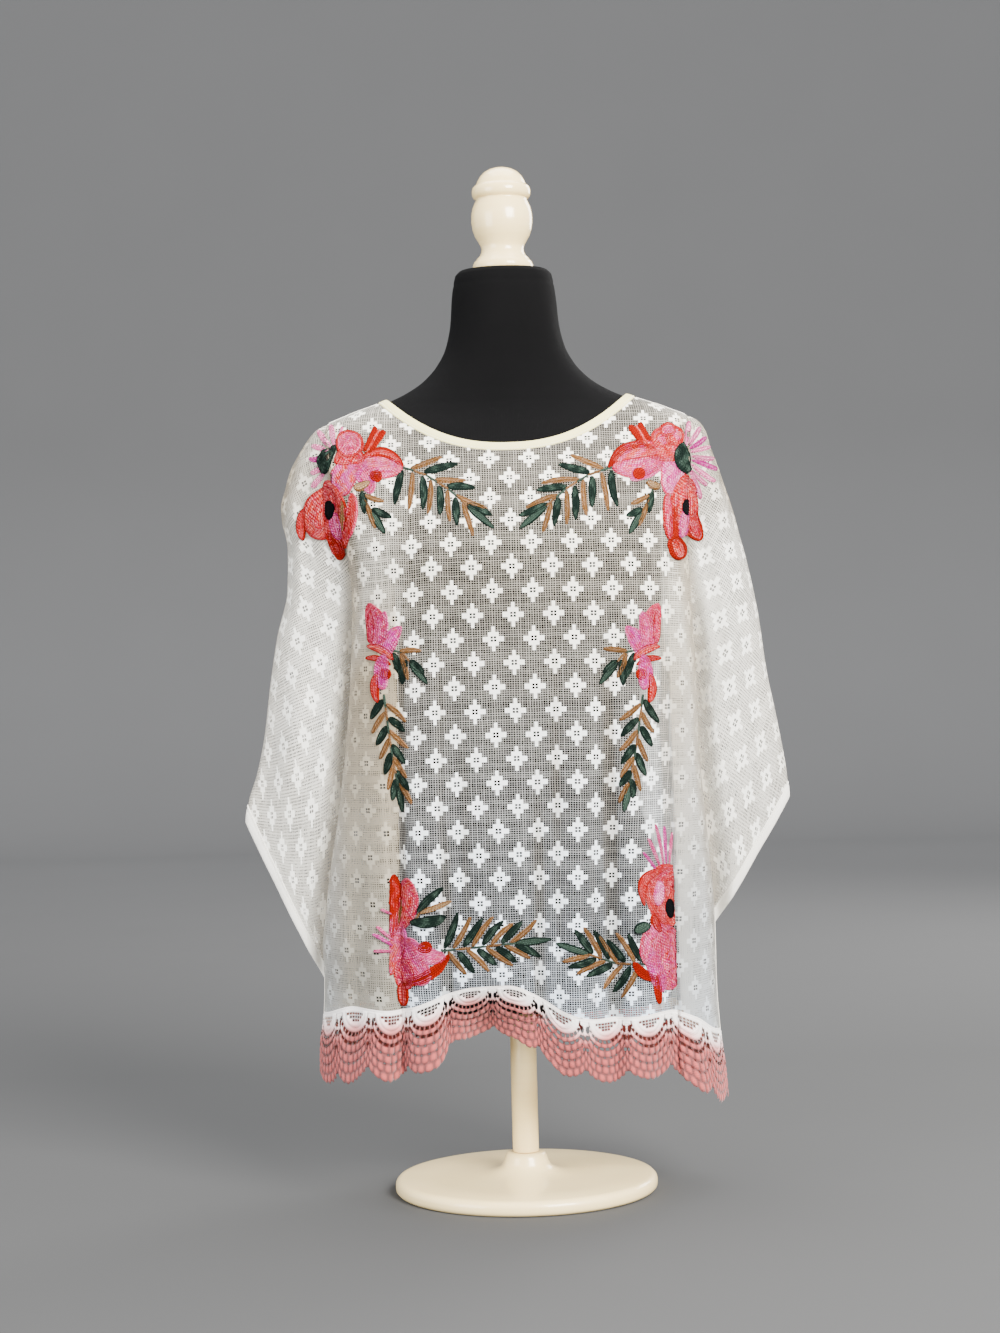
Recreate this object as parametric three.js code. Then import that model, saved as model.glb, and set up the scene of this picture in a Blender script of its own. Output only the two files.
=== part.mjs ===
// Batwing poncho top of sheer woven cloth with a lace border, worn by a limbless dress form.
// Millimetres. +Z up, the front of the garment faces -Y, +X is the right side of the picture.
import * as THREE from 'three';

// Cloth
const CLOTH = 1.2;
const LACE_CLOTH = 1.4;
const REST_GAP = 0.85;
const SEAM_HALF = 0.2;
const SLEEVE_SEAM = 0.26;
const SIDE_SQUARENESS = 3.4;
const BLEND = 8;
const SHOULDER_RISE = 70;
const BACK_SHARE = 0.86;
const SLEEVE_ROUNDNESS = 2.6;
const SLEEVE_TURN_IN = 0.24;

// Neck, cuffs and lace
const NECK_HALF = 128;
const NECK_FRONT_Z = 790.6;
const NECK_BACK_Z = 826;
const NECK_POWER = 2.35;
const BINDING_WIDTH = 9.5;
const BINDING_RAISE = 0.8;
const BINDING_EDGE_RAISE = 0.2;
const BINDING_STEPS = 20;
const BINDING_SEAM = 0.9;
const LACE_REPEATS = 8;
const LACE_COLUMNS = 4;
const HEM_Z = 150;
const SCALLOP = 4.5;
const CUFF_CLEAR = 6;

// Mesh spacing
const FORM_SEGMENTS = 32;
const FORM_POWER = 2.15;
const FINIAL_SEGMENTS = 20;
const POLE_SEGMENTS = 18;
const BASE_SEGMENTS = 32;
const PANEL_ROWS = 23;
const TOP_ROWS = 6;
const SHOULDER_STEP = 0.8;
const NECK_STEP = 8;
const CLOSE_ROWS_FROM = 96;
const CLOSE_ROWS_FADE = 40;
const SEAM_FADE = 8;
const HALF_SLEEVE_COLUMNS = 7;

// Solving for points on the shoulder and the neck
const SHOULDER_LOW_Z = 811;
const SHOULDER_HIGH_Z = 979;
const HALVINGS = 40;
const SLOPE_STEP = 0.05;
const SETTLE_PASSES = 4;
const NECK_STRIDES = 4;
const NECK_NUDGE = 0.01;
const TINY = 1e-4;

// Stand
const FORM_BOTTOM_Z = 198;
const BASE_RADIUS = 140;
const BASE_HUB_Z = 40;
const POLE_RADIUS = 14;
const POLE_GAP = 0.3;

// Torso rings: height, half width, and depth to the front and to the back
const FORM_RINGS = [
  { z: 198, wide: 150, front: 84, back: 96 },
  { z: 204, wide: 160, front: 93, back: 105 },
  { z: 244, wide: 170, front: 102, back: 114 },
  { z: 300, wide: 165, front: 98, back: 106 },
  { z: 372, wide: 143, front: 89, back: 85 },
  { z: 444, wide: 124, front: 84, back: 74 },
  { z: 520, wide: 134, front: 93, back: 78 },
  { z: 600, wide: 154, front: 113, back: 88 },
  { z: 640, wide: 162, front: 122, back: 93 },
  { z: 675, wide: 169, front: 126, back: 96 },
  { z: 720, wide: 179, front: 118, back: 99 },
  { z: 760, wide: 190, front: 102, back: 97 },
  { z: 790, wide: 197, front: 84, back: 90 },
  { z: 802, wide: 199, front: 76, back: 84 },
  { z: 811, wide: 197, front: 70, back: 78 },
  { z: 820, wide: 190, front: 63, back: 71 },
  { z: 826, wide: 176, front: 59, back: 67 },
  { z: 832, wide: 161, front: 56, back: 63 },
  { z: 838, wide: 143, front: 54, back: 61 },
  { z: 845, wide: 124, front: 53, back: 60 },
  { z: 853, wide: 107, front: 52, back: 59 },
  { z: 864, wide: 90, front: 51.5, back: 58 },
  { z: 881, wide: 74, front: 51, back: 57 },
  { z: 900, wide: 64, front: 52, back: 56 },
  { z: 924, wide: 58.5, front: 53.5, back: 56 },
  { z: 952, wide: 56, front: 53, back: 54 },
  { z: 976, wide: 52, front: 50.5, back: 51 },
  { z: 980.5, wide: 48, front: 47, back: 47 },
];

// Where body and sleeve meet in the groove, and below the underarm the side seam
const SIDE_LEFT = [
  { z: 85, x: -217 }, { z: 159, x: -215 }, { z: 187, x: -212 }, { z: 230, x: -210 },
  { z: 263, x: -211 }, { z: 305, x: -206 }, { z: 335, x: -202 }, { z: 404, x: -190 },
  { z: 476, x: -180 }, { z: 560, x: -172 }, { z: 640, x: -168 }, { z: 700, x: -174 },
  { z: 740, x: -181 }, { z: 780, x: -187 }, { z: 822, x: -191 }, { z: 900, x: -191 },
];
const SIDE_RIGHT = [
  { z: 85, x: 217 }, { z: 127, x: 214 }, { z: 161, x: 211 }, { z: 224, x: 208 },
  { z: 279, x: 208 }, { z: 323, x: 206 }, { z: 367, x: 202 }, { z: 424, x: 197 },
  { z: 467, x: 194 }, { z: 524, x: 193 }, { z: 582, x: 191 }, { z: 640, x: 188 },
  { z: 700, x: 184 }, { z: 740, x: 185 }, { z: 780, x: 188 }, { z: 822, x: 191 }, { z: 900, x: 191 },
];

// Outer fold of each sleeve, from the tip of the cuff up to the shoulder
const FOLD_LEFT = [
  { z: 399, x: -290.4 }, { z: 422, x: -286.6 }, { z: 451, x: -277 }, { z: 493, x: -267.6 },
  { z: 541, x: -261 }, { z: 599, x: -251 }, { z: 645, x: -239.5 }, { z: 690, x: -238 },
  { z: 702, x: -239.4 }, { z: 717, x: -243 }, { z: 734, x: -244 }, { z: 752, x: -239.5 },
  { z: 774, x: -232.5 }, { z: 797, x: -219 }, { z: 813, x: -207 }, { z: 818, x: -200 }, { z: 821.8, x: -191.6 },
];
const FOLD_RIGHT = [
  { z: 412, x: 291.3 }, { z: 441, x: 289 }, { z: 493, x: 280.6 }, { z: 551, x: 270 },
  { z: 608, x: 263 }, { z: 666, x: 252 }, { z: 690, x: 246 }, { z: 721, x: 238.3 },
  { z: 746, x: 230.4 }, { z: 765, x: 224.5 }, { z: 789, x: 216 }, { z: 802, x: 212.6 },
  { z: 813, x: 206.5 }, { z: 818.5, x: 200 }, { z: 821.8, x: 191.6 },
];

// Sleeve rows: height in the groove, height on the outer fold, half thickness of the sleeve
const ROWS_LEFT = [
  { groove: 821, fold: 821.7, half: 8 }, { groove: 814, fold: 817.5, half: 26 },
  { groove: 803, fold: 811, half: 38 }, { groove: 785, fold: 796, half: 46 },
  { groove: 762, fold: 776, half: 50 }, { groove: 738, fold: 754, half: 52 },
  { groove: 715, fold: 734, half: 52 }, { groove: 690, fold: 712, half: 50 },
  { groove: 665, fold: 690, half: 49 }, { groove: 640, fold: 668, half: 49 },
  { groove: 612, fold: 645, half: 50 }, { groove: 575, fold: 618, half: 51 },
  { groove: 530, fold: 590, half: 51 }, { groove: 482, fold: 560, half: 50 },
  { groove: 430, fold: 530, half: 46 }, { groove: 375, fold: 500, half: 40 },
  { groove: 320, fold: 470, half: 33 }, { groove: 278, fold: 444, half: 27 },
  { groove: 249, fold: 418, half: 23 }, { groove: 230, fold: 399, half: 21 },
];
const ROWS_RIGHT = [
  { groove: 821, fold: 821.7, half: 8 }, { groove: 814, fold: 818, half: 26 },
  { groove: 803, fold: 812, half: 37 }, { groove: 785, fold: 797, half: 45 },
  { groove: 762, fold: 777, half: 49 }, { groove: 738, fold: 755, half: 51 },
  { groove: 715, fold: 735, half: 52 }, { groove: 690, fold: 712, half: 52 },
  { groove: 665, fold: 690, half: 51 }, { groove: 640, fold: 668, half: 51 },
  { groove: 612, fold: 645, half: 51 }, { groove: 580, fold: 618, half: 51 },
  { groove: 545, fold: 590, half: 50 }, { groove: 508, fold: 562, half: 48 },
  { groove: 470, fold: 535, half: 46 }, { groove: 430, fold: 508, half: 42 },
  { groove: 388, fold: 481, half: 37 }, { groove: 345, fold: 455, half: 31 },
  { groove: 295, fold: 428, half: 25 }, { groove: 279, fold: 412, half: 22 },
];
const SHARE_ABOVE_UNDERARM = [
  { share: 0, depth: SEAM_HALF }, { share: 0.04, depth: 5 }, { share: 0.1, depth: 11 },
  { share: 0.2, depth: 19 }, { share: 0.35, depth: 26 }, { share: 0.55, depth: 30 },
  { share: 0.75, depth: 38 }, { share: 0.87, depth: 50 }, { share: 1, depth: 62 }, { share: 1.3, depth: 66 },
];
const UNDERARM_LEFT_Z = 230;
const UNDERARM_RIGHT_Z = 279;
const GROOVE_TOP_Z = 700;

// Depth at which the cloth hangs in the middle, before and behind
const HANG = [
  { z: 80, front: 108, back: 112 }, { z: 200, front: 113, back: 117 }, { z: 300, front: 119, back: 116 },
  { z: 400, front: 124, back: 112 }, { z: 480, front: 126, back: 109 }, { z: 560, front: 128, back: 106 },
  { z: 640, front: 129, back: 104 }, { z: 680, front: 127, back: 102 }, { z: 720, front: 112, back: 98 },
  { z: 760, front: 84, back: 86 }, { z: 790, front: 52, back: 64 }, { z: 826, front: 8, back: 20 },
  { z: 860, front: 2, back: 2 },
];

// Columns counted from the middle to the side, with their share of the half width
const COLUMN_SPREAD = [
  { step: 0, share: 0 }, { step: 8, share: 0.63 }, { step: 9, share: 0.688 }, { step: 10, share: 0.7185 },
  { step: 11, share: 0.775 }, { step: 12, share: 0.832 }, { step: 13, share: 0.883 },
  { step: 14, share: 0.928 }, { step: 15, share: 0.968 }, { step: 16, share: 1 },
];

// Folds: place at the top and at the hem, where each starts, how long it grows, depth and width
const FRONT_FOLDS = [
  { top: -118, hem: -128, start: 610, run: 260, depth: -13, width: 9 },
  { top: -146, hem: -151, start: 560, run: 300, depth: 6, width: 15 },
  { top: -98, hem: -106, start: 560, run: 320, depth: 6, width: 20 },
  { top: -70, hem: -78, start: 440, run: 240, depth: -9, width: 10 },
  { top: -34, hem: -36, start: 250, run: 80, depth: -34, width: 34 },
  { top: 24, hem: 16, start: 520, run: 300, depth: -8, width: 11 },
  { top: 66, hem: 52, start: 640, run: 300, depth: 8, width: 20 },
  { top: 92, hem: 94, start: 610, run: 280, depth: -9, width: 11 },
  { top: 122, hem: 122, start: 600, run: 320, depth: 6, width: 14 },
  { top: 152, hem: 158, start: 640, run: 220, depth: -9, width: 9 },
];
const BACK_FOLDS = [
  { top: -132, hem: -142, start: 600, run: 300, depth: -10, width: 12 },
  { top: -84, hem: -92, start: 560, run: 320, depth: 8, width: 20 },
  { top: -50, hem: -46, start: 480, run: 260, depth: -8, width: 13 },
  { top: 4, hem: 2, start: 560, run: 320, depth: 6, width: 22 },
  { top: 52, hem: 58, start: 500, run: 300, depth: -9, width: 13 },
  { top: 96, hem: 104, start: 580, run: 320, depth: 8, width: 19 },
  { top: 138, hem: 146, start: 610, run: 280, depth: -9, width: 12 },
];
const FOLD_TOP_Z = 620;
const FOLD_HEM_Z = 130;

// Top edge of the lace and its hem, across the garment
const LACE_TOP_FRONT = [
  { x: -216, z: 188 }, { x: -192, z: 196 }, { x: -158, z: 210 }, { x: -120, z: 208 }, { x: -72, z: 224 },
  { x: -48, z: 231 }, { x: -14, z: 233 }, { x: 20, z: 217 }, { x: 40, z: 204 }, { x: 70, z: 195 },
  { x: 104, z: 196 }, { x: 140, z: 199 }, { x: 164, z: 190 }, { x: 184, z: 172 }, { x: 216, z: 157 },
];
const HEM_FRONT = [
  { x: -216, z: 129 }, { x: -196, z: 127 }, { x: -160, z: 141 }, { x: -136, z: 138 }, { x: -100, z: 149 },
  { x: -84, z: 156 }, { x: -68, z: 176 }, { x: -40, z: 180 }, { x: -12, z: 180 }, { x: 10, z: 164 },
  { x: 26, z: 154 }, { x: 42, z: 141 }, { x: 90, z: 132 }, { x: 120, z: 134 }, { x: 150, z: 134 },
  { x: 168, z: 127 }, { x: 190, z: 104 }, { x: 217, z: 92 },
];
const LACE_TOP_BACK = [
  { x: -216, z: 188 }, { x: -192, z: 196 }, { x: -140, z: 209 }, { x: -50, z: 232 }, { x: 20, z: 232 },
  { x: 110, z: 208 }, { x: 184, z: 172 }, { x: 216, z: 157 },
];
const HEM_BACK = [
  { x: -216, z: 129 }, { x: -140, z: 139 }, { x: -50, z: 158 }, { x: 20, z: 158 }, { x: 110, z: 137 },
  { x: 170, z: 112 }, { x: 217, z: 92 },
];

// Smooth line through a table that never swings past its rows
function through(rows, key, value) {
  const slopes = [];
  const last = rows.length - 1;
  const rise = (i) => (rows[i + 1][value] - rows[i][value]) / (rows[i + 1][key] - rows[i][key]);
  for (let i = 0; i <= last; i += 1) {
    if (i === 0 || i === last) {
      slopes.push(rise(i === 0 ? 0 : last - 1));
    } else if (rise(i - 1) * rise(i) <= 0) {
      slopes.push(0);
    } else {
      slopes.push((2 * rise(i - 1) * rise(i)) / (rise(i - 1) + rise(i)));
    }
  }
  return (at) => {
    if (at <= rows[0][key]) {
      return rows[0][value];
    }
    if (at >= rows[last][key]) {
      return rows[last][value];
    }
    let i = 0;
    while (rows[i + 1][key] < at) {
      i += 1;
    }
    const span = rows[i + 1][key] - rows[i][key];
    const t = (at - rows[i][key]) / span;
    const settle = t * t * (3 - 2 * t);
    const bend = t * (1 - t);
    return rows[i][value] * (1 - settle) + rows[i + 1][value] * settle
      + span * bend * (slopes[i] * (1 - t) - slopes[i + 1] * t);
  };
}
const clamp = (value, low, high) => Math.min(high, Math.max(low, value));
const mix = (a, b, t) => a + (b - a) * t;
function ease(t) {
  const held = clamp(t, 0, 1);
  return held * held * (3 - 2 * held);
}

const formWide = through(FORM_RINGS, 'z', 'wide');
const formDepth = { front: through(FORM_RINGS, 'z', 'front'), back: through(FORM_RINGS, 'z', 'back') };
const sideLeft = through(SIDE_LEFT, 'z', 'x');
const sideRight = through(SIDE_RIGHT, 'z', 'x');
const hang = { front: through(HANG, 'z', 'front'), back: through(HANG, 'z', 'back') };
const aboveUnderarm = through(SHARE_ABOVE_UNDERARM, 'share', 'depth');

// Outer face of cloth that rests on the torso
const LIFT = CLOTH + REST_GAP;
const SIDE_LIFT = 0.85;
const DEPTH_LIFT = 0.5;
function restWide(z) {
  return formWide(z - LIFT) + LIFT * SIDE_LIFT;
}
function restDepth(face, x, z) {
  const across = Math.abs(x) / restWide(z);
  if (across >= 1 || z < FORM_BOTTOM_Z) {
    return 0;
  }
  const deep = formDepth[face](z - LIFT * DEPTH_LIFT) + LIFT;
  return deep * (1 - across ** FORM_POWER) ** (1 / FORM_POWER);
}

// Height of the shoulder line at a distance from the middle
function shoulderZ(x) {
  let low = SHOULDER_LOW_Z;
  let high = SHOULDER_HIGH_Z;
  for (let i = 0; i < HALVINGS; i += 1) {
    const middle = (low + high) / 2;
    if (restWide(middle) > Math.abs(x)) {
      low = middle;
    } else {
      high = middle;
    }
  }
  return low;
}

function grooveDepth(side, z) {
  const underarm = side < 0 ? UNDERARM_LEFT_Z : UNDERARM_RIGHT_Z;
  return aboveUnderarm((z - underarm) / (GROOVE_TOP_Z - underarm));
}

function foldDepth(folds, x, z) {
  let sum = 0;
  for (const fold of folds) {
    const down = clamp((FOLD_TOP_Z - z) / (FOLD_TOP_Z - FOLD_HEM_Z), 0, 1);
    const off = (x - mix(fold.top, fold.hem, down)) / fold.width;
    sum += fold.depth * ease((fold.start - z) / fold.run) * Math.exp(-off * off);
  }
  return sum;
}

// Depth of the garment's outer face before or behind the middle plane
function clothDepth(face, x, z) {
  const edge = Math.abs(x < 0 ? sideLeft(z) : sideRight(z)) - SEAM_HALF;
  const across = Math.min(1, Math.abs(x) / edge);
  const full = Math.sqrt(1 - across ** SIDE_SQUARENESS);
  const share = face === 'front' ? 1 : BACK_SHARE;
  const groove = grooveDepth(Math.sign(x), z);
  const held = groove > 2 * SEAM_HALF ? groove * share : groove;
  const under = clamp((shoulderZ(x) - z) / SHOULDER_RISE, 0, 1);
  const rise = Math.sqrt(1 - (1 - under) ** 2);
  const hung = mix(held, hang[face](z), full) * rise;
  const rest = restDepth(face, x, z);
  const base = (rest ** BLEND + hung ** BLEND) ** (1 / BLEND);
  const folds = face === 'front' ? FRONT_FOLDS : BACK_FOLDS;
  return Math.max(base + foldDepth(folds, x, z) * full, rest, SEAM_HALF);
}
function onCloth(face, x, z) {
  const depth = clothDepth(face, x, z);
  return new THREE.Vector3(x, face === 'front' ? -depth : depth, z);
}

// Closed wall from a grid of outer points. Cells named by open() are left out as holes.
function wall(name, outer, inner, finish, wrap = false, open = () => false) {
  const rows = outer.length;
  const columns = outer[0].length;
  const cells = wrap ? columns : columns - 1;
  const positions = [];
  for (const layer of [outer, inner]) {
    for (const row of layer) {
      for (const point of row) {
        positions.push(point.x, point.y, point.z);
      }
    }
  }
  const index = [];
  const at = (layer, i, j) => layer * rows * columns + i * columns + (j % columns);
  const quad = (a, b, c, d) => index.push(a, b, c, a, c, d);
  const isOpen = (i, j) => {
    if (i < 0 || i >= rows - 1) {
      return true;
    }
    if (!wrap && (j < 0 || j >= cells)) {
      return true;
    }
    return open(i, (j + cells) % cells);
  };
  for (let i = 0; i < rows - 1; i += 1) {
    for (let j = 0; j < cells; j += 1) {
      if (isOpen(i, j)) {
        continue;
      }
      quad(at(0, i, j), at(0, i + 1, j), at(0, i + 1, j + 1), at(0, i, j + 1));
      quad(at(1, i, j), at(1, i, j + 1), at(1, i + 1, j + 1), at(1, i + 1, j));
      if (isOpen(i - 1, j)) {
        quad(at(0, i, j), at(0, i, j + 1), at(1, i, j + 1), at(1, i, j));
      }
      if (isOpen(i + 1, j)) {
        quad(at(0, i + 1, j + 1), at(0, i + 1, j), at(1, i + 1, j), at(1, i + 1, j + 1));
      }
      if (isOpen(i, j - 1)) {
        quad(at(0, i + 1, j), at(0, i, j), at(1, i, j), at(1, i + 1, j));
      }
      if (isOpen(i, j + 1)) {
        quad(at(0, i, j + 1), at(0, i + 1, j + 1), at(1, i + 1, j + 1), at(1, i, j + 1));
      }
    }
  }
  return meshOf(name, positions, index, finish);
}

function meshOf(name, positions, index, finish) {
  const used = new Map();
  const kept = [];
  const renumbered = index.map((i) => {
    if (!used.has(i)) {
      used.set(i, used.size);
      kept.push(positions[3 * i], positions[3 * i + 1], positions[3 * i + 2]);
    }
    return used.get(i);
  });
  const geometry = new THREE.BufferGeometry();
  geometry.setAttribute('position', new THREE.Float32BufferAttribute(kept, 3));
  geometry.setIndex(renumbered);
  geometry.computeVertexNormals();
  const mesh = new THREE.Mesh(geometry, new THREE.MeshStandardMaterial(finish));
  mesh.name = name;
  return mesh;
}

// Inner face, one cloth thickness behind the outer face
function normalsOf(outer) {
  const [lastRow, lastColumn] = [outer.length - 1, outer[0].length - 1];
  return outer.map((row, i) => row.map((point, j) => {
    const down = outer[Math.min(i + 1, lastRow)][j].clone().sub(outer[Math.max(i - 1, 0)][j]);
    const across = row[Math.min(j + 1, lastColumn)].clone().sub(row[Math.max(j - 1, 0)]);
    return down.cross(across).normalize();
  }));
}
function insideOf(outer, normals, thickness, hold) {
  return outer.map((row, i) => row.map((point, j) => (
    hold(point.clone().addScaledVector(normals[i][j], -thickness), point)
  )));
}
// Two pieces that meet at a seam are thickened along one shared direction there
function shareSeam(normalsA, columnA, normalsB, columnB, rowsDown, count) {
  for (let i = 0; i < count; i += 1) {
    const shared = normalsA[i + rowsDown][columnA].clone().add(normalsB[i][columnB]).normalize();
    normalsA[i + rowsDown][columnA].copy(shared);
    normalsB[i][columnB].copy(shared);
  }
}
const keepFront = (inside) => {
  inside.y = Math.min(inside.y, -SEAM_HALF);
  return inside;
};
const keepBack = (inside) => {
  inside.y = Math.max(inside.y, SEAM_HALF);
  return inside;
};

// Neck edge as a closed line: front from left to right, then back from right to left
function neckPoint(angle, extra) {
  const face = Math.sin(angle) > 0 ? 'front' : 'back';
  const x = -NECK_HALF * Math.cos(angle);
  const low = face === 'front' ? NECK_FRONT_Z : NECK_BACK_Z;
  const z = mix(low, shoulderZ(NECK_HALF), Math.abs(x / NECK_HALF) ** NECK_POWER);
  const edge = onCloth(face, x, z);
  if (Math.abs(Math.sin(angle)) < TINY) {
    edge.y = 0;
  }
  if (extra === 0) {
    return edge;
  }
  const tangent = neckPoint(angle + NECK_NUDGE, 0).sub(neckPoint(angle - NECK_NUDGE, 0)).normalize();
  const outward = restNormal(edge);
  const along = tangent.clone().cross(outward).normalize();
  let point = edge.clone();
  for (let i = 0; i < NECK_STRIDES; i += 1) {
    point.addScaledVector(along, extra / NECK_STRIDES);
    point = toRest(point);
  }
  return point;
}
function restLevel(point) {
  const face = point.y < 0 ? 'front' : 'back';
  const deep = formDepth[face](point.z - LIFT * DEPTH_LIFT) + LIFT;
  return (Math.abs(point.x) / restWide(point.z)) ** FORM_POWER + (Math.abs(point.y) / deep) ** FORM_POWER - 1;
}
function restSlope(point) {
  const d = SLOPE_STEP;
  const shift = (dx, dy, dz) => restLevel(new THREE.Vector3(point.x + dx, point.y + dy, point.z + dz));
  return new THREE.Vector3(
    (shift(d, 0, 0) - shift(-d, 0, 0)) / (2 * d),
    (shift(0, d, 0) - shift(0, -d, 0)) / (2 * d),
    (shift(0, 0, d) - shift(0, 0, -d)) / (2 * d),
  );
}
const restNormal = (point) => restSlope(point).normalize();
function toRest(point) {
  const moved = point.clone();
  for (let i = 0; i < SETTLE_PASSES; i += 1) {
    const slope = restSlope(moved);
    moved.addScaledVector(slope, -restLevel(moved) / slope.lengthSq());
  }
  return moved;
}

// Top edge of a panel: under the binding near the neck, then along the shoulder
function topEdge(face) {
  const below = [];
  const steps = 4 * BINDING_STEPS;
  const sign = face === 'front' ? 1 : -1;
  for (let i = 0; i <= steps; i += 1) {
    const point = neckPoint((sign * Math.PI * i) / steps, BINDING_WIDTH + BINDING_SEAM);
    below.push({ x: point.x, z: point.z });
  }
  below.sort((a, b) => a.x - b.x);
  const first = below[0];
  const last = below[below.length - 1];
  const corner = Math.min(-first.x, last.x);
  return (x) => {
    if (Math.abs(x) >= corner - SEAM_HALF) {
      return shoulderZ(x);
    }
    let i = 0;
    while (below[i + 1].x < x && i < below.length - 2) {
      i += 1;
    }
    const t = clamp((x - below[i].x) / (below[i + 1].x - below[i].x), 0, 1);
    return Math.min(mix(below[i].z, below[i + 1].z, t), shoulderZ(x));
  };
}

// Share of the way across for each column: closer together at the neck corner and at the sides
const spreadShare = through(COLUMN_SPREAD, 'step', 'share');
function spread(i, count) {
  const step = i - count / 2;
  return Math.sign(step) * spreadShare(Math.abs(step));
}
function acrossAt(share, z) {
  const edge = share < 0 ? -sideLeft(z) : sideRight(z);
  return share * (edge - SEAM_HALF * Math.abs(share) ** SEAM_FADE);
}

// Rows lie close together over the shoulder and on the chest, then evenly down to the lace
function rowDrop(i, length, nearShoulder) {
  const held = Math.min(i, TOP_ROWS);
  const near = mix(NECK_STEP * held, SHOULDER_STEP * held ** 2, nearShoulder);
  if (i <= TOP_ROWS) {
    return near;
  }
  return near + ((length - near) * (i - TOP_ROWS)) / (PANEL_ROWS - TOP_ROWS);
}

// Points of a panel from its top edge to the lace
const PANEL_COLUMNS = LACE_REPEATS * LACE_COLUMNS;
function panelPoints(face, laceTop) {
  const top = topEdge(face);
  const lower = through(laceTop, 'x', 'z');
  const grid = [];
  for (let i = 0; i <= PANEL_ROWS; i += 1) {
    const row = [];
    for (let j = 0; j <= PANEL_COLUMNS; j += 1) {
      const share = spread(j, PANEL_COLUMNS);
      const startX = acrossAt(share, shoulderZ(NECK_HALF));
      const start = top(startX);
      const end = lower(startX) + SEAM_HALF;
      const nearShoulder = ease((Math.abs(startX) - CLOSE_ROWS_FROM) / CLOSE_ROWS_FADE);
      const z = start - rowDrop(i, start - end, nearShoulder);
      row.push(onCloth(face, acrossAt(share, z), z));
    }
    grid.push(row);
  }
  return face === 'front' ? grid : grid.map((row) => row.reverse());
}

// One sleeve, folded over its outer edge, from the groove in front round to the groove behind
function sleevePoint(side, shape, grooveZ, across) {
  const [foldZ, half] = [shape.fold(grooveZ), shape.half(grooveZ)];
  const fold = shape.outline(foldZ);
  const groove = (side < 0 ? sideLeft(grooveZ) : sideRight(grooveZ)) + side * SLEEVE_SEAM;
  const face = across < 0 ? 'front' : 'back';
  const out = 1 - Math.abs(across) ** 2;
  const x = mix(groove, fold, out);
  const z = mix(grooveZ, foldZ, out);
  const start = clothDepth(face, groove - side * SLEEVE_SEAM, grooveZ);
  const share = face === 'front' ? 1 : BACK_SHARE;
  const full = half * share * Math.sqrt(Math.max(0, 1 - out ** SLEEVE_ROUNDNESS));
  let depth = mix(start, full, ease(out / SLEEVE_TURN_IN));
  if (Math.abs(across) > TINY) {
    depth = Math.max(depth, restDepth(face, x, z), SEAM_HALF);
  }
  return new THREE.Vector3(x, face === 'front' ? -depth : depth, z);
}
function sleeveGrid(side, shape, heights) {
  return heights.map((grooveZ) => {
    const row = [];
    for (let j = -HALF_SLEEVE_COLUMNS; j <= HALF_SLEEVE_COLUMNS; j += 1) {
      row.push(sleevePoint(side, shape, grooveZ, j / HALF_SLEEVE_COLUMNS));
    }
    return side < 0 ? row.reverse() : row;
  });
}
const keepSides = (inside, point) => {
  if (point.y < -SEAM_HALF / 2) {
    return keepFront(inside);
  }
  return point.y > SEAM_HALF / 2 ? keepBack(inside) : inside;
};

// Lace border: the open cells of one repeat, by row and column
const LACE_ROWS = [0, 0.14, 0.3, 0.46, 0.58, 0.74, 0.84, 1];
const LACE_OPEN = [
  { row: 1, column: 1 }, { row: 1, column: 3 }, { row: 3, column: 0 }, { row: 3, column: 2 },
  { row: 5, column: 1 }, { row: 5, column: 3 },
];
function laceGrid(face, laceTop, hem) {
  const upper = through(laceTop, 'x', 'z');
  const lower = through(hem, 'x', 'z');
  const grid = LACE_ROWS.map((down, i) => {
    const row = [];
    for (let j = 0; j <= PANEL_COLUMNS; j += 1) {
      const share = spread(j, PANEL_COLUMNS);
      const startX = acrossAt(share, shoulderZ(NECK_HALF));
      const hemX = acrossAt(share, HEM_Z);
      const petal = i === LACE_ROWS.length - 1 ? SCALLOP * (j % 2 === 0 ? 1 : -1) : 0;
      const z = mix(upper(startX) - SEAM_HALF, lower(hemX) + petal, down);
      row.push(onCloth(face, acrossAt(share, z), z));
    }
    return row;
  });
  return face === 'front' ? grid : grid.map((row) => row.reverse());
}
const laceOpen = (i, j) => {
  const inside = j > 0 && j < PANEL_COLUMNS - 1;
  return inside && LACE_OPEN.some((cell) => cell.row === i && cell.column === j % LACE_COLUMNS);
};

function bindingPoints() {
  const widths = [
    { out: 0, raise: BINDING_EDGE_RAISE }, { out: 0.3, raise: BINDING_RAISE },
    { out: 0.7, raise: BINDING_RAISE },
    { out: 1, raise: BINDING_EDGE_RAISE },
  ];
  const outer = [];
  const inner = [];
  for (const { out, raise } of widths) {
    const outerRow = [];
    const innerRow = [];
    for (let i = 0; i < 2 * BINDING_STEPS; i += 1) {
      const point = neckPoint((Math.PI * i) / BINDING_STEPS, BINDING_WIDTH * out + TINY);
      const normal = restNormal(point);
      outerRow.push(point.clone().addScaledVector(normal, raise));
      innerRow.push(point.clone().addScaledVector(normal, -CLOTH));
    }
    outer.push(outerRow);
    inner.push(innerRow);
  }
  return { outer, inner };
}

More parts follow.
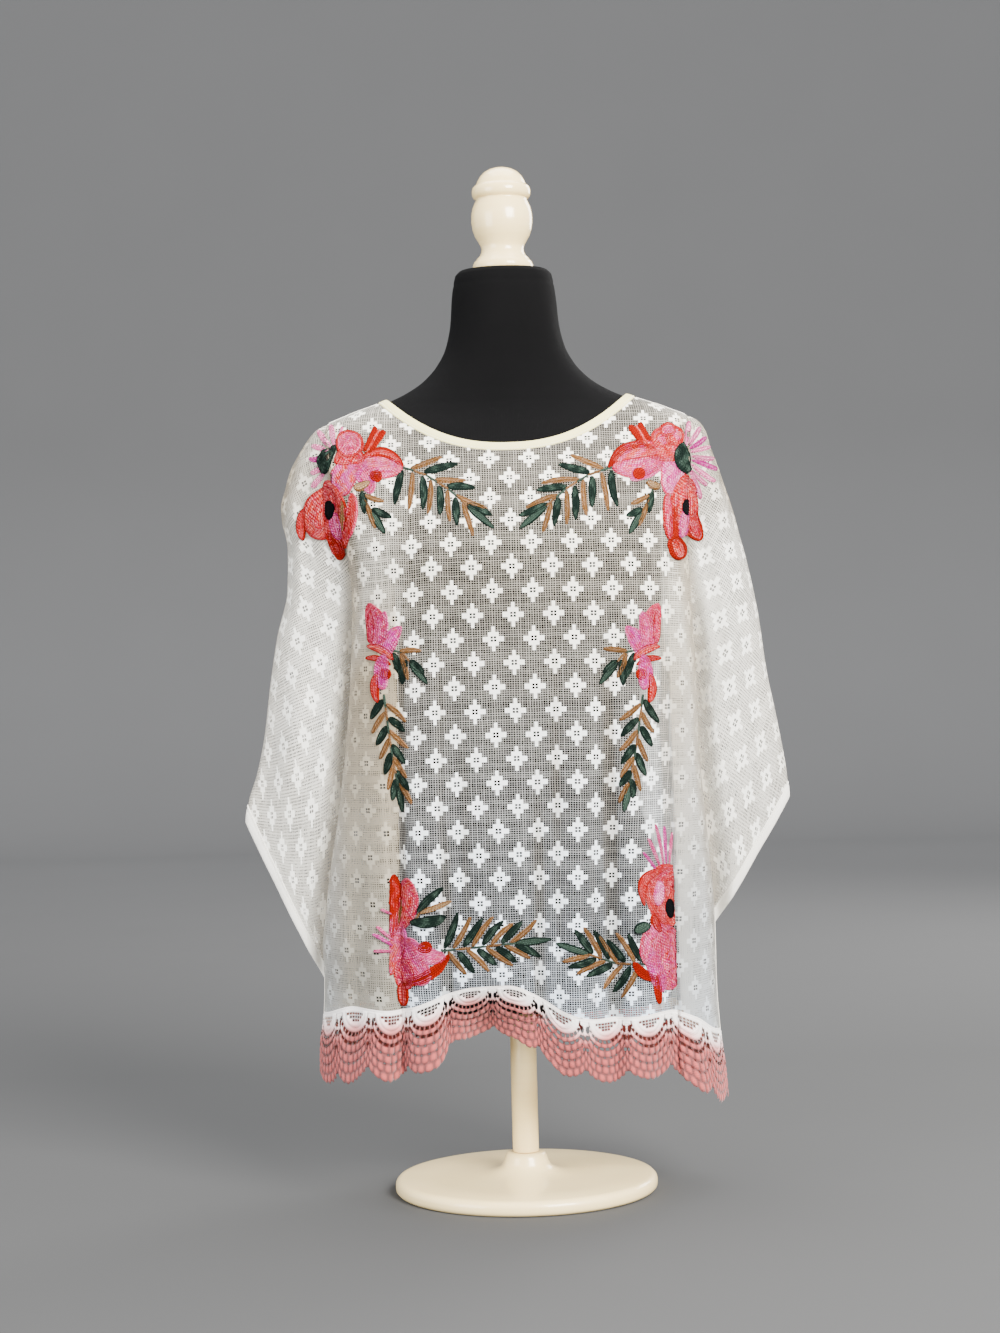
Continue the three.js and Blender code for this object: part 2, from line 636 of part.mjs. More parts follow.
function torso(finish) {
  const positions = [];
  const index = [];
  const count = FORM_SEGMENTS;
  FORM_RINGS.forEach((ring, i) => {
    for (let j = 0; j < count; j += 1) {
      const angle = (2 * Math.PI * j) / count;
      const reach = (part) => Math.sign(part) * Math.abs(part) ** (2 / FORM_POWER);
      const deep = Math.sin(angle) < 0 ? ring.front : ring.back;
      positions.push(ring.wide * reach(Math.cos(angle)), deep * reach(Math.sin(angle)), ring.z);
      if (i > 0) {
        const next = (j + 1) % count;
        const [a, b] = [(i - 1) * count + j, (i - 1) * count + next];
        index.push(a, b, b + count, a, b + count, a + count);
      }
    }
  });
  for (const [ring, up] of [[0, false], [FORM_RINGS.length - 1, true]]) {
    const centre = positions.length / 3;
    positions.push(0, 0, FORM_RINGS[ring].z);
    for (let j = 0; j < count; j += 1) {
      const [a, b] = [ring * count + j, ring * count + ((j + 1) % count)];
      index.push(...(up ? [a, b, centre] : [b, a, centre]));
    }
  }
  return meshOf('form', positions, index, finish);
}

// Turned pieces: radius and height, from the axis round to the axis
const FINIAL_PROFILE = [
  { r: 0, z: 980.8 }, { r: 31, z: 980.8 }, { r: 32.5, z: 987 }, { r: 31, z: 994 }, { r: 25, z: 998 },
  { r: 22.5, z: 1004.8 }, { r: 26, z: 1012 }, { r: 31, z: 1024 }, { r: 33, z: 1038 }, { r: 31, z: 1050 },
  { r: 26, z: 1058.5 }, { r: 30, z: 1060.5 }, { r: 31.5, z: 1067 }, { r: 30, z: 1073 }, { r: 24, z: 1074.5 },
  { r: 23, z: 1081 }, { r: 18, z: 1088 }, { r: 9, z: 1091.6 }, { r: 0, z: 1092.5 },
];
const BASE_PROFILE = [
  { r: 0, z: 0 }, { r: 134, z: 0 }, { r: BASE_RADIUS, z: 4 }, { r: BASE_RADIUS, z: 10 }, { r: 134, z: 16 },
  { r: 44, z: 19 }, { r: 25, z: 25 }, { r: 20, z: BASE_HUB_Z }, { r: 0, z: BASE_HUB_Z },
];
function turned(name, profile, segments, finish) {
  const line = profile.map(({ r, z }) => new THREE.Vector2(r, z));
  const geometry = new THREE.LatheGeometry(line, segments);
  geometry.rotateX(Math.PI / 2);
  const mesh = new THREE.Mesh(geometry, new THREE.MeshStandardMaterial(finish));
  mesh.name = name;
  return mesh;
}

const WEAVE = { color: 0xece6d8, roughness: 0.85, metalness: 0, side: THREE.DoubleSide };
const LACE = { color: 0xe9b3a6, roughness: 0.85, metalness: 0 };
const BINDING = { color: 0xf0e6c4, roughness: 0.8, metalness: 0 };
const JERSEY = { color: 0x1a1919, roughness: 0.95, metalness: 0 };
const CREAM = { color: 0xefe3cc, roughness: 0.3, metalness: 0 };

const garment = new THREE.Group();
garment.name = 'batwing_poncho_top';

const frontGrid = panelPoints('front', LACE_TOP_FRONT);
const backGrid = panelPoints('back', LACE_TOP_BACK);
const frontNormals = normalsOf(frontGrid);
const backNormals = normalsOf(backGrid);

// The sleeves share the heights of the front's side edges down to the cuff
const SLEEVES = [
  { end: 'left', side: -1, rows: ROWS_LEFT, line: FOLD_LEFT, edge: frontGrid.map((row) => row[0].z) },
  { end: 'right', side: 1, rows: ROWS_RIGHT, line: FOLD_RIGHT, edge: frontGrid.map((row) => row[PANEL_COLUMNS].z) },
];
for (const { end, side, rows, line, edge } of SLEEVES) {
  const upward = [...rows].reverse();
  const shape = {
    fold: through(upward, 'groove', 'fold'),
    half: through(upward, 'groove', 'half'),
    outline: through(line, 'z', 'x'),
  };
  const [underarm, cuffTop] = [upward[0].groove, upward[1].groove];
  const heights = edge.filter((z, i) => i > 0 && z > cuffTop + CUFF_CLEAR);
  const sleeve = sleeveGrid(side, shape, [...heights, cuffTop + 2 * SEAM_HALF]);
  const normals = normalsOf(sleeve);
  const [frontEdge, backEdge] = side < 0 ? [0, PANEL_COLUMNS] : [PANEL_COLUMNS, 0];
  const [sleeveFront, sleeveBack] = side < 0 ? [2 * HALF_SLEEVE_COLUMNS, 0] : [0, 2 * HALF_SLEEVE_COLUMNS];
  shareSeam(frontNormals, frontEdge, normals, sleeveFront, 1, heights.length);
  shareSeam(backNormals, backEdge, normals, sleeveBack, 1, heights.length);
  garment.add(wall(`sleeve_${end}`, sleeve, insideOf(sleeve, normals, CLOTH, keepSides), WEAVE));
  const cuff = sleeveGrid(side, shape, [cuffTop - 2 * SEAM_HALF, underarm]);
  garment.add(wall(`cuff_${end}`, cuff, insideOf(cuff, normalsOf(cuff), CLOTH, keepSides), BINDING));
}
garment.add(wall('front', frontGrid, insideOf(frontGrid, frontNormals, CLOTH, keepFront), WEAVE));
garment.add(wall('back', backGrid, insideOf(backGrid, backNormals, CLOTH, keepBack), WEAVE));

for (const [face, laceTop, hem] of [['front', LACE_TOP_FRONT, HEM_FRONT], ['back', LACE_TOP_BACK, HEM_BACK]]) {
  const lace = laceGrid(face, laceTop, hem);
  const inside = insideOf(lace, normalsOf(lace), LACE_CLOTH, face === 'front' ? keepFront : keepBack);
  garment.add(wall(`lace_${face}`, lace, inside, LACE, false, laceOpen));
}

const binding = bindingPoints();
garment.add(wall('neck_binding', binding.outer, binding.inner, BINDING, true));

garment.add(torso(JERSEY));
garment.add(turned('finial', FINIAL_PROFILE, FINIAL_SEGMENTS, CREAM));
const pole = [
  { r: 0, z: BASE_HUB_Z + POLE_GAP }, { r: POLE_RADIUS, z: BASE_HUB_Z + POLE_GAP },
  { r: POLE_RADIUS, z: FORM_BOTTOM_Z - POLE_GAP }, { r: 0, z: FORM_BOTTOM_Z - POLE_GAP },
];
garment.add(turned('pole', pole, POLE_SEGMENTS, CREAM));
garment.add(turned('base', BASE_PROFILE, BASE_SEGMENTS, CREAM));

export default garment;
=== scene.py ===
# Batwing poncho top of sheer woven cloth, on a black dress form with a cream finial and stand.
# Metres in Blender; the tables below are in millimetres, in the CAD frame.
import math

import bpy
import numpy as np
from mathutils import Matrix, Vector
from mathutils.bvhtree import BVHTree


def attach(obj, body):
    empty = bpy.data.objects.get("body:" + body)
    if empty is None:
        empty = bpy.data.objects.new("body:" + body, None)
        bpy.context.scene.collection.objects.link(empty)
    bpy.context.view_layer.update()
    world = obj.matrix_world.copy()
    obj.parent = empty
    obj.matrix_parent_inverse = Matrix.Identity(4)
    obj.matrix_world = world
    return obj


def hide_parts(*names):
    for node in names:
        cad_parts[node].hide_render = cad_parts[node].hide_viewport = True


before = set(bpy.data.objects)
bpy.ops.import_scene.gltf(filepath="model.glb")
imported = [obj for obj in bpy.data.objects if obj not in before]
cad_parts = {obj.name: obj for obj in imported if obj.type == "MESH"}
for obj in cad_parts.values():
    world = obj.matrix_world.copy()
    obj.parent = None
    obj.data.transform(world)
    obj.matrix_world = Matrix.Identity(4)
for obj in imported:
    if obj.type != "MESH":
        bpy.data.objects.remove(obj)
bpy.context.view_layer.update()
MM = 0.001

# ---------------------------------------------------------------- sizes
# The cloth's wall, and its outer face's distance from the form
CLOTH = 1.2
REST_GAP = 0.85
LIFT = CLOTH + REST_GAP
SIDE_LIFT, DEPTH_LIFT = 0.85, 0.5
SEAM_HALF = 0.2
# How square the hanging cloth is in plan, how tightly it bends off the form, and its rise at the shoulder
SIDE_SQUARENESS = 3.4
BLEND = 8
SHOULDER_RISE = 70
BACK_SHARE = 0.86
NECK_HALF, NECK_POWER = 128, 2.35
NECK_FRONT_Z, NECK_BACK_Z = 790.6, 826
BINDING_WIDTH = 9.5
FORM_POWER = 2.15
FORM_BOTTOM_Z = 198
# Underarm heights of the left (-1) and right (1) side
UNDERARM = {-1: 230, 1: 279}
GROOVE_TOP_Z = 700

# Torso rings: height, half width, depth to the front, depth to the back
FORM_RINGS = [
    (198, 150, 84, 96), (204, 160, 93, 105), (244, 170, 102, 114), (300, 165, 98, 106),
    (372, 143, 89, 85), (444, 124, 84, 74), (520, 134, 93, 78), (600, 154, 113, 88),
    (640, 162, 122, 93), (675, 169, 126, 96), (720, 179, 118, 99), (760, 190, 102, 97),
    (790, 197, 84, 90), (802, 199, 76, 84), (811, 197, 70, 78), (820, 190, 63, 71),
    (826, 176, 59, 67), (832, 161, 56, 63), (838, 143, 54, 61), (845, 124, 53, 60),
    (853, 107, 52, 59), (864, 90, 51.5, 58), (881, 74, 51, 57), (900, 64, 52, 56),
    (924, 58.5, 53.5, 56), (952, 56, 53, 54), (976, 52, 50.5, 51), (980.5, 48, 47, 47),
]
SIDE_LEFT = [
    (85, -217), (159, -215), (187, -212), (230, -210), (263, -211), (305, -206), (335, -202), (404, -190),
    (476, -180), (560, -172), (640, -168), (700, -174), (740, -181), (780, -187), (822, -191), (900, -191),
]
SIDE_RIGHT = [
    (85, 217), (127, 214), (161, 211), (224, 208), (279, 208), (323, 206), (367, 202), (424, 197),
    (467, 194), (524, 193), (582, 191), (640, 188), (700, 184), (740, 185), (780, 188), (822, 191), (900, 191),
]
FOLD_LEFT = [
    (399, -290.4), (422, -286.6), (451, -277), (493, -267.6), (541, -261), (599, -251), (645, -239.5),
    (690, -238), (702, -239.4), (717, -243), (734, -244), (752, -239.5), (774, -232.5), (797, -219),
    (813, -207), (818, -200), (821.8, -191.6),
]
FOLD_RIGHT = [
    (412, 291.3), (441, 289), (493, 280.6), (551, 270), (608, 263), (666, 252), (690, 246), (721, 238.3),
    (746, 230.4), (765, 224.5), (789, 216), (802, 212.6), (813, 206.5), (818.5, 200), (821.8, 191.6),
]
# Sleeve rows: height in the groove, height on the outer fold, half thickness
ROWS_LEFT = [
    (821, 821.7, 8), (814, 817.5, 26), (803, 811, 38), (785, 796, 46), (762, 776, 50), (738, 754, 52),
    (715, 734, 52), (690, 712, 50), (665, 690, 49), (640, 668, 49), (612, 645, 50), (575, 618, 51),
    (530, 590, 51), (482, 560, 50), (430, 530, 46), (375, 500, 40), (320, 470, 33), (278, 444, 27),
    (249, 418, 23), (230, 399, 21),
]
ROWS_RIGHT = [
    (821, 821.7, 8), (814, 818, 26), (803, 812, 37), (785, 797, 45), (762, 777, 49), (738, 755, 51),
    (715, 735, 52), (690, 712, 52), (665, 690, 51), (640, 668, 51), (612, 645, 51), (580, 618, 51),
    (545, 590, 50), (508, 562, 48), (470, 535, 46), (430, 508, 42), (388, 481, 37), (345, 455, 31),
    (295, 428, 25), (279, 412, 22),
]
SHARE_ABOVE_UNDERARM = [
    (0, SEAM_HALF), (0.04, 5), (0.1, 11), (0.2, 19), (0.35, 26), (0.55, 30), (0.75, 38), (0.87, 50),
    (1, 62), (1.3, 66),
]
# Height, and the depth at which the cloth hangs before and behind
HANG = [
    (80, 108, 112), (200, 113, 117), (300, 119, 116), (400, 124, 112), (480, 126, 109), (560, 128, 106),
    (640, 129, 104), (680, 127, 102), (720, 112, 98), (760, 84, 86), (790, 52, 64), (826, 8, 20), (860, 2, 2),
]
# Folds: x at the top, x at the hem, start height, run, depth, width
FRONT_FOLDS = [
    (-118, -128, 610, 260, -13, 9), (-146, -151, 560, 300, 6, 15), (-98, -106, 560, 320, 6, 20),
    (-70, -78, 440, 240, -9, 10), (-34, -36, 250, 80, -34, 34), (24, 16, 520, 300, -8, 11),
    (66, 52, 640, 300, 8, 20), (92, 94, 610, 280, -9, 11), (122, 122, 600, 320, 6, 14),
    (152, 158, 640, 220, -9, 9),
]
BACK_FOLDS = [
    (-132, -142, 600, 300, -10, 12), (-84, -92, 560, 320, 8, 20), (-50, -46, 480, 260, -8, 13),
    (4, 2, 560, 320, 6, 22), (52, 58, 500, 300, -9, 13), (96, 104, 580, 320, 8, 19),
    (138, 146, 610, 280, -9, 12),
]
FOLD_TOP_Z = 620
FOLD_HEM_Z = 130
LACE_TOP_FRONT = [
    (-216, 188), (-192, 196), (-158, 210), (-120, 208), (-72, 224), (-48, 231), (-14, 233), (20, 217),
    (40, 204), (70, 195), (104, 196), (140, 199), (164, 190), (184, 172), (216, 157),
]
HEM_FRONT = [
    (-216, 129), (-196, 127), (-160, 141), (-136, 138), (-100, 149), (-84, 156), (-68, 176), (-40, 180),
    (-12, 180), (10, 164), (26, 154), (42, 141), (90, 132), (120, 134), (150, 134), (168, 127),
    (190, 104), (217, 92),
]
LACE_TOP_BACK = [
    (-216, 188), (-192, 196), (-140, 209), (-50, 232), (20, 232), (110, 208), (184, 172), (216, 157),
]
HEM_BACK = [
    (-216, 129), (-140, 139), (-50, 158), (20, 158), (110, 137), (170, 112), (217, 92),
]


# ---------------------------------------------------------------- the shape of the cloth
def through(rows, column=1):
    """Smooth line through a table, as a function of its first column, that never overshoots."""
    xs = np.array([r[0] for r in rows], float)
    ys = np.array([r[column] for r in rows], float)
    rise = np.diff(ys) / np.diff(xs)
    slopes = np.empty(len(xs))
    slopes[0], slopes[-1] = rise[0], rise[-1]
    for i in range(1, len(xs) - 1):
        a, b = rise[i - 1], rise[i]
        slopes[i] = 0 if a * b <= 0 else 2 * a * b / (a + b)

    def line(at):
        at = np.clip(np.asarray(at, float), xs[0], xs[-1])
        i = np.clip(np.searchsorted(xs, at, side="left") - 1, 0, len(xs) - 2)
        span = xs[i + 1] - xs[i]
        t = (at - xs[i]) / span
        settle = t * t * (3 - 2 * t)
        bend = t * (1 - t)
        curve = span * bend * (slopes[i] * (1 - t) - slopes[i + 1] * t)
        return ys[i] * (1 - settle) + ys[i + 1] * settle + curve

    return line


def ease(t):
    t = np.clip(t, 0, 1)
    return t * t * (3 - 2 * t)


def mix(a, b, t):
    return a + (b - a) * t


form_wide = through(FORM_RINGS)
form_depth = {"front": through(FORM_RINGS, 2), "back": through(FORM_RINGS, 3)}
side_left, side_right = through(SIDE_LEFT), through(SIDE_RIGHT)
hang = {"front": through(HANG, 1), "back": through(HANG, 2)}
above_underarm = through(SHARE_ABOVE_UNDERARM)


def rest_wide(z):
    return form_wide(z - LIFT) + LIFT * SIDE_LIFT


def rest_depth(face, x, z):
    across = np.clip(np.abs(x) / rest_wide(z), 0, 1)
    deep = form_depth[face](z - LIFT * DEPTH_LIFT) + LIFT
    depth = deep * (1 - across**FORM_POWER) ** (1 / FORM_POWER)
    return np.where(z < FORM_BOTTOM_Z, 0, depth)


LINE_Z = np.linspace(811, 979, 2000)
LINE_WIDE = rest_wide(LINE_Z)


def shoulder_z(x):
    return np.interp(-np.abs(x), -LINE_WIDE, LINE_Z)


def groove_depth(x, z):
    left = above_underarm((z - UNDERARM[-1]) / (GROOVE_TOP_Z - UNDERARM[-1]))
    right = above_underarm((z - UNDERARM[1]) / (GROOVE_TOP_Z - UNDERARM[1]))
    return np.where(x < 0, left, right)


def fold_share(z):
    """0 where the folds start at the top and 1 at the hem."""
    return np.clip((FOLD_TOP_Z - z) / (FOLD_TOP_Z - FOLD_HEM_Z), 0, 1)


def fold_depth(folds, x, z):
    total = np.zeros(np.broadcast(x, z).shape)
    down = fold_share(z)
    for top, hem, start, run, depth, width in folds:
        off = (x - mix(top, hem, down)) / width
        total = total + depth * ease((start - z) / run) * np.exp(-off * off)
    return total


# Laid-over pleat edges: x at the top and at the hem, start height, step forward, fading width, side.
# PLEAT_RUN is the height over which a step grows, and PLEAT_LIP the width of its edge.
PLEAT_RUN, PLEAT_LIP = 110, 2.6
PLEATS = {
    "front": [(-119, -127, 640, 5.5, 46, -1), (158, 163, 640, 4.5, 34, 1)],
    "back": [(-112, -120, 600, 4.5, 40, -1), (118, 126, 600, 4.5, 40, 1)],
}
# Finer creases than the solids carry: x at the top, x at the hem, start, run, depth, width
CREASES = {
    "front": [
        (-84, -96, 690, 200, 1.8, 7), (-52, -58, 600, 260, -2.2, 9), (-12, -18, 520, 240, 2.0, 10),
        (8, 0, 420, 180, -1.8, 7), (42, 36, 700, 260, -2.0, 9), (78, 74, 560, 240, -2.2, 8),
        (108, 110, 650, 220, 2.4, 7), (-132, -140, 480, 200, 2.0, 7), (138, 143, 520, 200, -2.4, 6),
        (-158, -176, 520, 260, -3.0, 9), (172, 182, 520, 240, 2.6, 8), (-20, -28, 300, 120, 3.0, 9),
    ],
    "back": [
        (-110, -118, 660, 240, 2.2, 8), (-66, -70, 600, 240, -2.4, 9), (-24, -22, 640, 260, 2.2, 11),
        (28, 30, 560, 220, -2.2, 8), (74, 80, 640, 240, -2.4, 9), (118, 124, 560, 220, 2.4, 8),
        (-156, -172, 540, 240, 2.8, 9), (160, 176, 520, 240, -2.8, 9),
    ],
}
# Slack ripples: how many to a metre across and up, turn, height. They set in below SLACK_TOP_Z.
SLACK_TOP_Z, SLACK_RUN = 700, 200
RIPPLES = [(9.1, 3.3, 0.4, 0.55), (14.7, -4.9, 1.9, 0.4), (23.5, 7.7, 3.1, 0.25), (5.3, 11.9, 5.2, 0.45)]
# Short soft pulls from the shoulders: x, z, direction across, direction up, length, width, height
PULLS = [
    (-150, 790, 0.55, -0.83, 90, 8, 1.6), (-128, 770, 0.42, -0.9, 80, 8, -1.3),
    (152, 792, -0.5, -0.86, 95, 8, 1.6), (130, 768, -0.38, -0.92, 80, 8, -1.3),
    (-70, 770, 0.2, -0.97, 60, 9, 0.9), (72, 772, -0.22, -0.97, 60, 9, 0.9),
]


FINE_FADE = 2.2


def cloth_depth(face, x, z, fine=False):
    """How far before or behind the middle plane the cloth hangs; fine adds what the solids leave out."""
    x, z = np.broadcast_arrays(np.asarray(x, float), np.asarray(z, float))
    edge = np.abs(np.where(x < 0, side_left(z), side_right(z))) - SEAM_HALF
    across = np.clip(np.abs(x) / edge, 0, 1)
    full = np.sqrt(1 - across**SIDE_SQUARENESS)
    groove = groove_depth(x, z)
    if face == "back":
        groove = np.where(groove > 2 * SEAM_HALF, groove * BACK_SHARE, groove)
    under = np.clip((shoulder_z(x) - z) / SHOULDER_RISE, 0, 1)
    rise = np.sqrt(1 - (1 - under) ** 2)
    hung = mix(groove, hang[face](z), full) * rise
    rest = rest_depth(face, x, z)
    base = (rest**BLEND + hung**BLEND) ** (1 / BLEND)
    folds = fold_depth(FRONT_FOLDS if face == "front" else BACK_FOLDS, x, z)
    depth = base + folds * full
    if fine:
        depth = depth + fine_depth(face, x, z) * np.minimum(full * FINE_FADE, 1)
    return np.maximum(np.maximum(depth, rest), SEAM_HALF)


def past_pleat(pleat, x, z):
    """Distance from a pleat's edge, positive on the side that it lies over."""
    top, hem, side = pleat[0], pleat[1], pleat[5]
    return side * (x - mix(top, hem, fold_share(z)))


def fine_depth(face, x, z):
    total = fold_depth(CREASES[face], x, z)
    for pleat in PLEATS[face]:
        start, step, fade = pleat[2:5]
        off = past_pleat(pleat, x, z)
        lip = step * ease((start - z) / PLEAT_RUN) * ease(off / PLEAT_LIP + 0.5)
        total = total + lip * np.exp(-np.maximum(off, 0) / fade)
    if face == "front":
        for px, pz, dx, dz, length, width, height in PULLS:
            along = (x - px) * dx + (z - pz) * dz
            off = (x - px) * dz - (z - pz) * dx
            total = total + height * np.exp(-((along - length / 2) / (length / 2)) ** 2 - (off / width) ** 2)
    slack = ease((SLACK_TOP_Z - z) / SLACK_RUN)
    for over, up, turn, height in RIPPLES:
        total = total + height * slack * np.sin(2 * math.pi * (over * x + up * z) * MM + turn)
    return total


def on_cloth(face, x, z, fine=False):
    depth = cloth_depth(face, x, z, fine)
    x, z = np.broadcast_arrays(np.asarray(x, float), np.asarray(z, float))
    return np.stack([x, -depth if face == "front" else depth, z], -1)


# ---------------------------------------------------------------- neck line
def rest_level(p):
    """Below 0 inside the surface on which the cloth rests, above 0 outside it."""
    x, y, z = p[..., 0], p[..., 1], p[..., 2]
    form_z = z - LIFT * DEPTH_LIFT
    deep = np.where(y < 0, form_depth["front"](form_z), form_depth["back"](form_z)) + LIFT
    return (np.abs(x) / rest_wide(z)) ** FORM_POWER + (np.abs(y) / deep) ** FORM_POWER - 1


def rest_slope(p):
    d = 0.05
    out = []
    for axis in range(3):
        step = np.zeros(3)
        step[axis] = d
        out.append((rest_level(p + step) - rest_level(p - step)) / (2 * d))
    return np.stack(out, -1)


def unit(v):
    return v / np.maximum(np.linalg.norm(v, axis=-1, keepdims=True), 1e-12)


SETTLING_STEPS = 4
UNDER_BINDING = 1.5


def to_rest(p):
    """The nearest point of the surface on which the cloth rests."""
    for _ in range(SETTLING_STEPS):
        slope = rest_slope(p)
        p = p - slope * (rest_level(p) / (slope**2).sum(-1))[..., None]
    return p


def neck_edge(angle):
    x = -NECK_HALF * np.cos(angle)
    front = np.sin(angle) > 0
    low = np.where(front, NECK_FRONT_Z, NECK_BACK_Z)
    z = mix(low, shoulder_z(NECK_HALF), np.abs(x / NECK_HALF) ** NECK_POWER)
    depth = np.where(front, -cloth_depth("front", x, z), cloth_depth("back", x, z))
    depth = np.where(np.abs(np.sin(angle)) < 1e-6, 0, depth)
    return np.stack([x, depth, z], -1)


def neck_points(angle, extra):
    """Points that lie on the form at a distance below the neck edge."""
    edge = neck_edge(angle)
    tangent = unit(neck_edge(angle + 0.01) - neck_edge(angle - 0.01))
    along = unit(np.cross(tangent, unit(rest_slope(edge))))
    p = edge
    for _ in range(SETTLING_STEPS):
        p = to_rest(p + along * extra / SETTLING_STEPS)
    return p


def top_edge(face):
    sign = 1 if face == "front" else -1
    below = neck_points(sign * np.linspace(0, math.pi, 161), BINDING_WIDTH - UNDER_BINDING)
    below = below[np.argsort(below[:, 0])]
    corner = min(-below[0, 0], below[-1, 0]) - SEAM_HALF

    def line(x):
        inner = np.minimum(np.interp(x, below[:, 0], below[:, 2]), shoulder_z(x))
        return np.where(np.abs(x) >= corner, shoulder_z(x), inner)

    return line


def across_at(share, z, inset=SEAM_HALF):
    edge = np.where(share < 0, -side_left(z), side_right(z))
    return share * (edge - inset * np.abs(share) ** 8)


# ---------------------------------------------------------------- meshes
def put(name, points, faces, uvs=None, colours=None):
    """A mesh object from points in millimetres. uvs and colours are per point."""
    mesh = bpy.data.meshes.new(name)
    points = np.asarray(points, np.float32).reshape(-1, 3) * MM
    faces = np.asarray(faces, np.int32)
    sides = faces.shape[1]
    mesh.vertices.add(len(points))
    mesh.vertices.foreach_set("co", points.ravel())
    mesh.loops.add(faces.size)
    mesh.loops.foreach_set("vertex_index", faces.ravel())
    mesh.polygons.add(len(faces))
    mesh.polygons.foreach_set("loop_start", np.arange(0, faces.size, sides, dtype=np.int32))
    mesh.polygons.foreach_set("loop_total", np.full(len(faces), sides, np.int32))
    mesh.polygons.foreach_set("use_smooth", np.full(len(faces), True))
    mesh.update(calc_edges=True)
    if uvs is not None:
        layer = mesh.uv_layers.new(name="cloth")
        layer.data.foreach_set("uv", np.asarray(uvs, np.float32).reshape(-1, 2)[faces.ravel()].ravel())
    if colours is not None:
        layer = mesh.color_attributes.new("tone", "FLOAT_COLOR", "POINT")
        rgba = np.ones((len(points), 4), np.float32)
        rgba[:, :3] = np.asarray(colours, np.float32).reshape(-1, 3)
        layer.data.foreach_set("color", rgba.ravel())
    mesh.validate()
    obj = bpy.data.objects.new(name, mesh)
    bpy.context.scene.collection.objects.link(obj)
    return obj


def grid_faces(rows, columns, wrap=False, flip=False, start=0):
    across = columns if wrap else columns - 1
    i, j = np.meshgrid(np.arange(rows - 1), np.arange(across), indexing="ij")
    k = (j + 1) % columns
    quad = [i * columns + j, (i + 1) * columns + j, (i + 1) * columns + k, i * columns + k]
    faces = np.stack(quad, -1).reshape(-1, 4) + start
    return faces[:, ::-1] if flip else faces


# Panel mesh: columns, rows of the solid and finer rows in each, rows held close under the neck and their steps
PANEL_COLUMNS, PANEL_ROWS, PANEL_FINE = 176, 23, 8
TOP_ROWS, NECK_STEP, SHOULDER_STEP = 6, 8, 0.8
COLUMN_SPREAD = 0.92


def row_drop(i, length, near_shoulder):
    held = np.minimum(i, TOP_ROWS)
    near = mix(NECK_STEP * held, SHOULDER_STEP * held**2, near_shoulder)
    below = (length - near) * (i - TOP_ROWS) / (PANEL_ROWS - TOP_ROWS)
    return near + np.where(i > TOP_ROWS, below, 0)


def down_lengths(grid):
    """Length of cloth along each column, measured up from the bottom row."""
    steps = np.linalg.norm(np.diff(grid, axis=0), axis=-1)
    total = np.zeros(grid.shape[:2])
    total[:-1] = np.cumsum(steps[::-1], axis=0)[::-1]
    return total


def across_lengths(face, x, z):
    """Length of cloth from the middle out to x at one height."""
    shares = np.linspace(0, 1, 49)
    line = x[..., None] * shares
    depth = cloth_depth(face, line, np.broadcast_to(z[..., None], line.shape))
    run = np.hypot(np.diff(line, axis=-1), np.diff(depth, axis=-1)).sum(-1)
    return np.sign(x) * run


# Painted shade under a pleat on the left and on the right, how far it reaches, and the width of a doubled edge
UNDER = {"front": (1.7, 0.75), "back": (0.4, 0.4)}
UNDER_REACH = 100
DOUBLE_SOFT, DOUBLE_SHARP = 46, 3
SAG_REACH, SAG_FULL = 7, 4.0


def panel_tones(face, x, z):
    """Of each point: how doubled the cloth is there, how pale, and how much painted shade it gets in inward
    folds, near the side edges and beside the pleats.
    """
    # painted shade: beige darkening where the cloth bends inward between folds, near the side edges, and on the
    # cloth that each pleat lies over
    around = cloth_depth(face, x - SAG_REACH, z, True) + cloth_depth(face, x + SAG_REACH, z, True)
    sag = around - 2 * cloth_depth(face, x, z, True)
    painted_shade = np.clip(sag / SAG_FULL, 0, 0.6)
    side_share = np.abs(x) / np.where(x < 0, -side_left(z), side_right(z))
    painted_shade = np.maximum(painted_shade, 0.9 * ease((side_share - 0.86) / 0.14) * ease((820 - z) / 60))
    doubled = np.zeros_like(z)
    for pleat in PLEATS[face]:
        start, side = pleat[2], pleat[5]
        off = past_pleat(pleat, x, z)
        soft = mix(DOUBLE_SOFT, DOUBLE_SHARP, ease((start + 60 - z) / 200))
        laid = ease(off / soft + 0.5) * (0.3 + 0.7 * ease((start + 120 - z) / 240))
        doubled = np.maximum(doubled, laid)
        under = np.exp(-np.maximum(off, 0) / UNDER_REACH) * ease(off / 3 + 0.5) * ease((start + 40 - z) / 160)
        painted_shade = np.maximum(painted_shade, under * UNDER[face][0 if side < 0 else 1])
    form_share = np.abs(x) / np.maximum(form_wide(z), 60)
    light = np.maximum(doubled, ease((form_share - 0.93) / 0.1) * ease((800 - z) / 60) * 0.8)
    light = np.maximum(light, 0.7 * ease((300 - z) / 110))
    return np.stack([doubled, light, painted_shade], -1)


def panel_grid(face, lace_top):
    """Points, cloth coordinates and tones of a panel."""
    top, lower = top_edge(face), through(lace_top)
    share = np.sin(np.linspace(-1, 1, PANEL_COLUMNS + 1) * math.pi / 2 * COLUMN_SPREAD)
    share = share / math.sin(math.pi / 2 * COLUMN_SPREAD)
    i = np.linspace(0, PANEL_ROWS, PANEL_ROWS * PANEL_FINE + 1)[:, None]
    start_x = across_at(share, np.full_like(share, shoulder_z(NECK_HALF)))
    start, end = top(start_x), lower(start_x) + SEAM_HALF
    near = ease((np.abs(start_x) - 96) / 40)
    z = start - row_drop(i, start - end, near)
    x = across_at(share[None, :] + 0 * z, z)
    grid = on_cloth(face, x, z, fine=True)
    u = across_lengths(face, x, z)
    v = down_lengths(grid) + end[None, :]
    return grid, np.stack([u, v], -1) * MM, panel_tones(face, x, z)


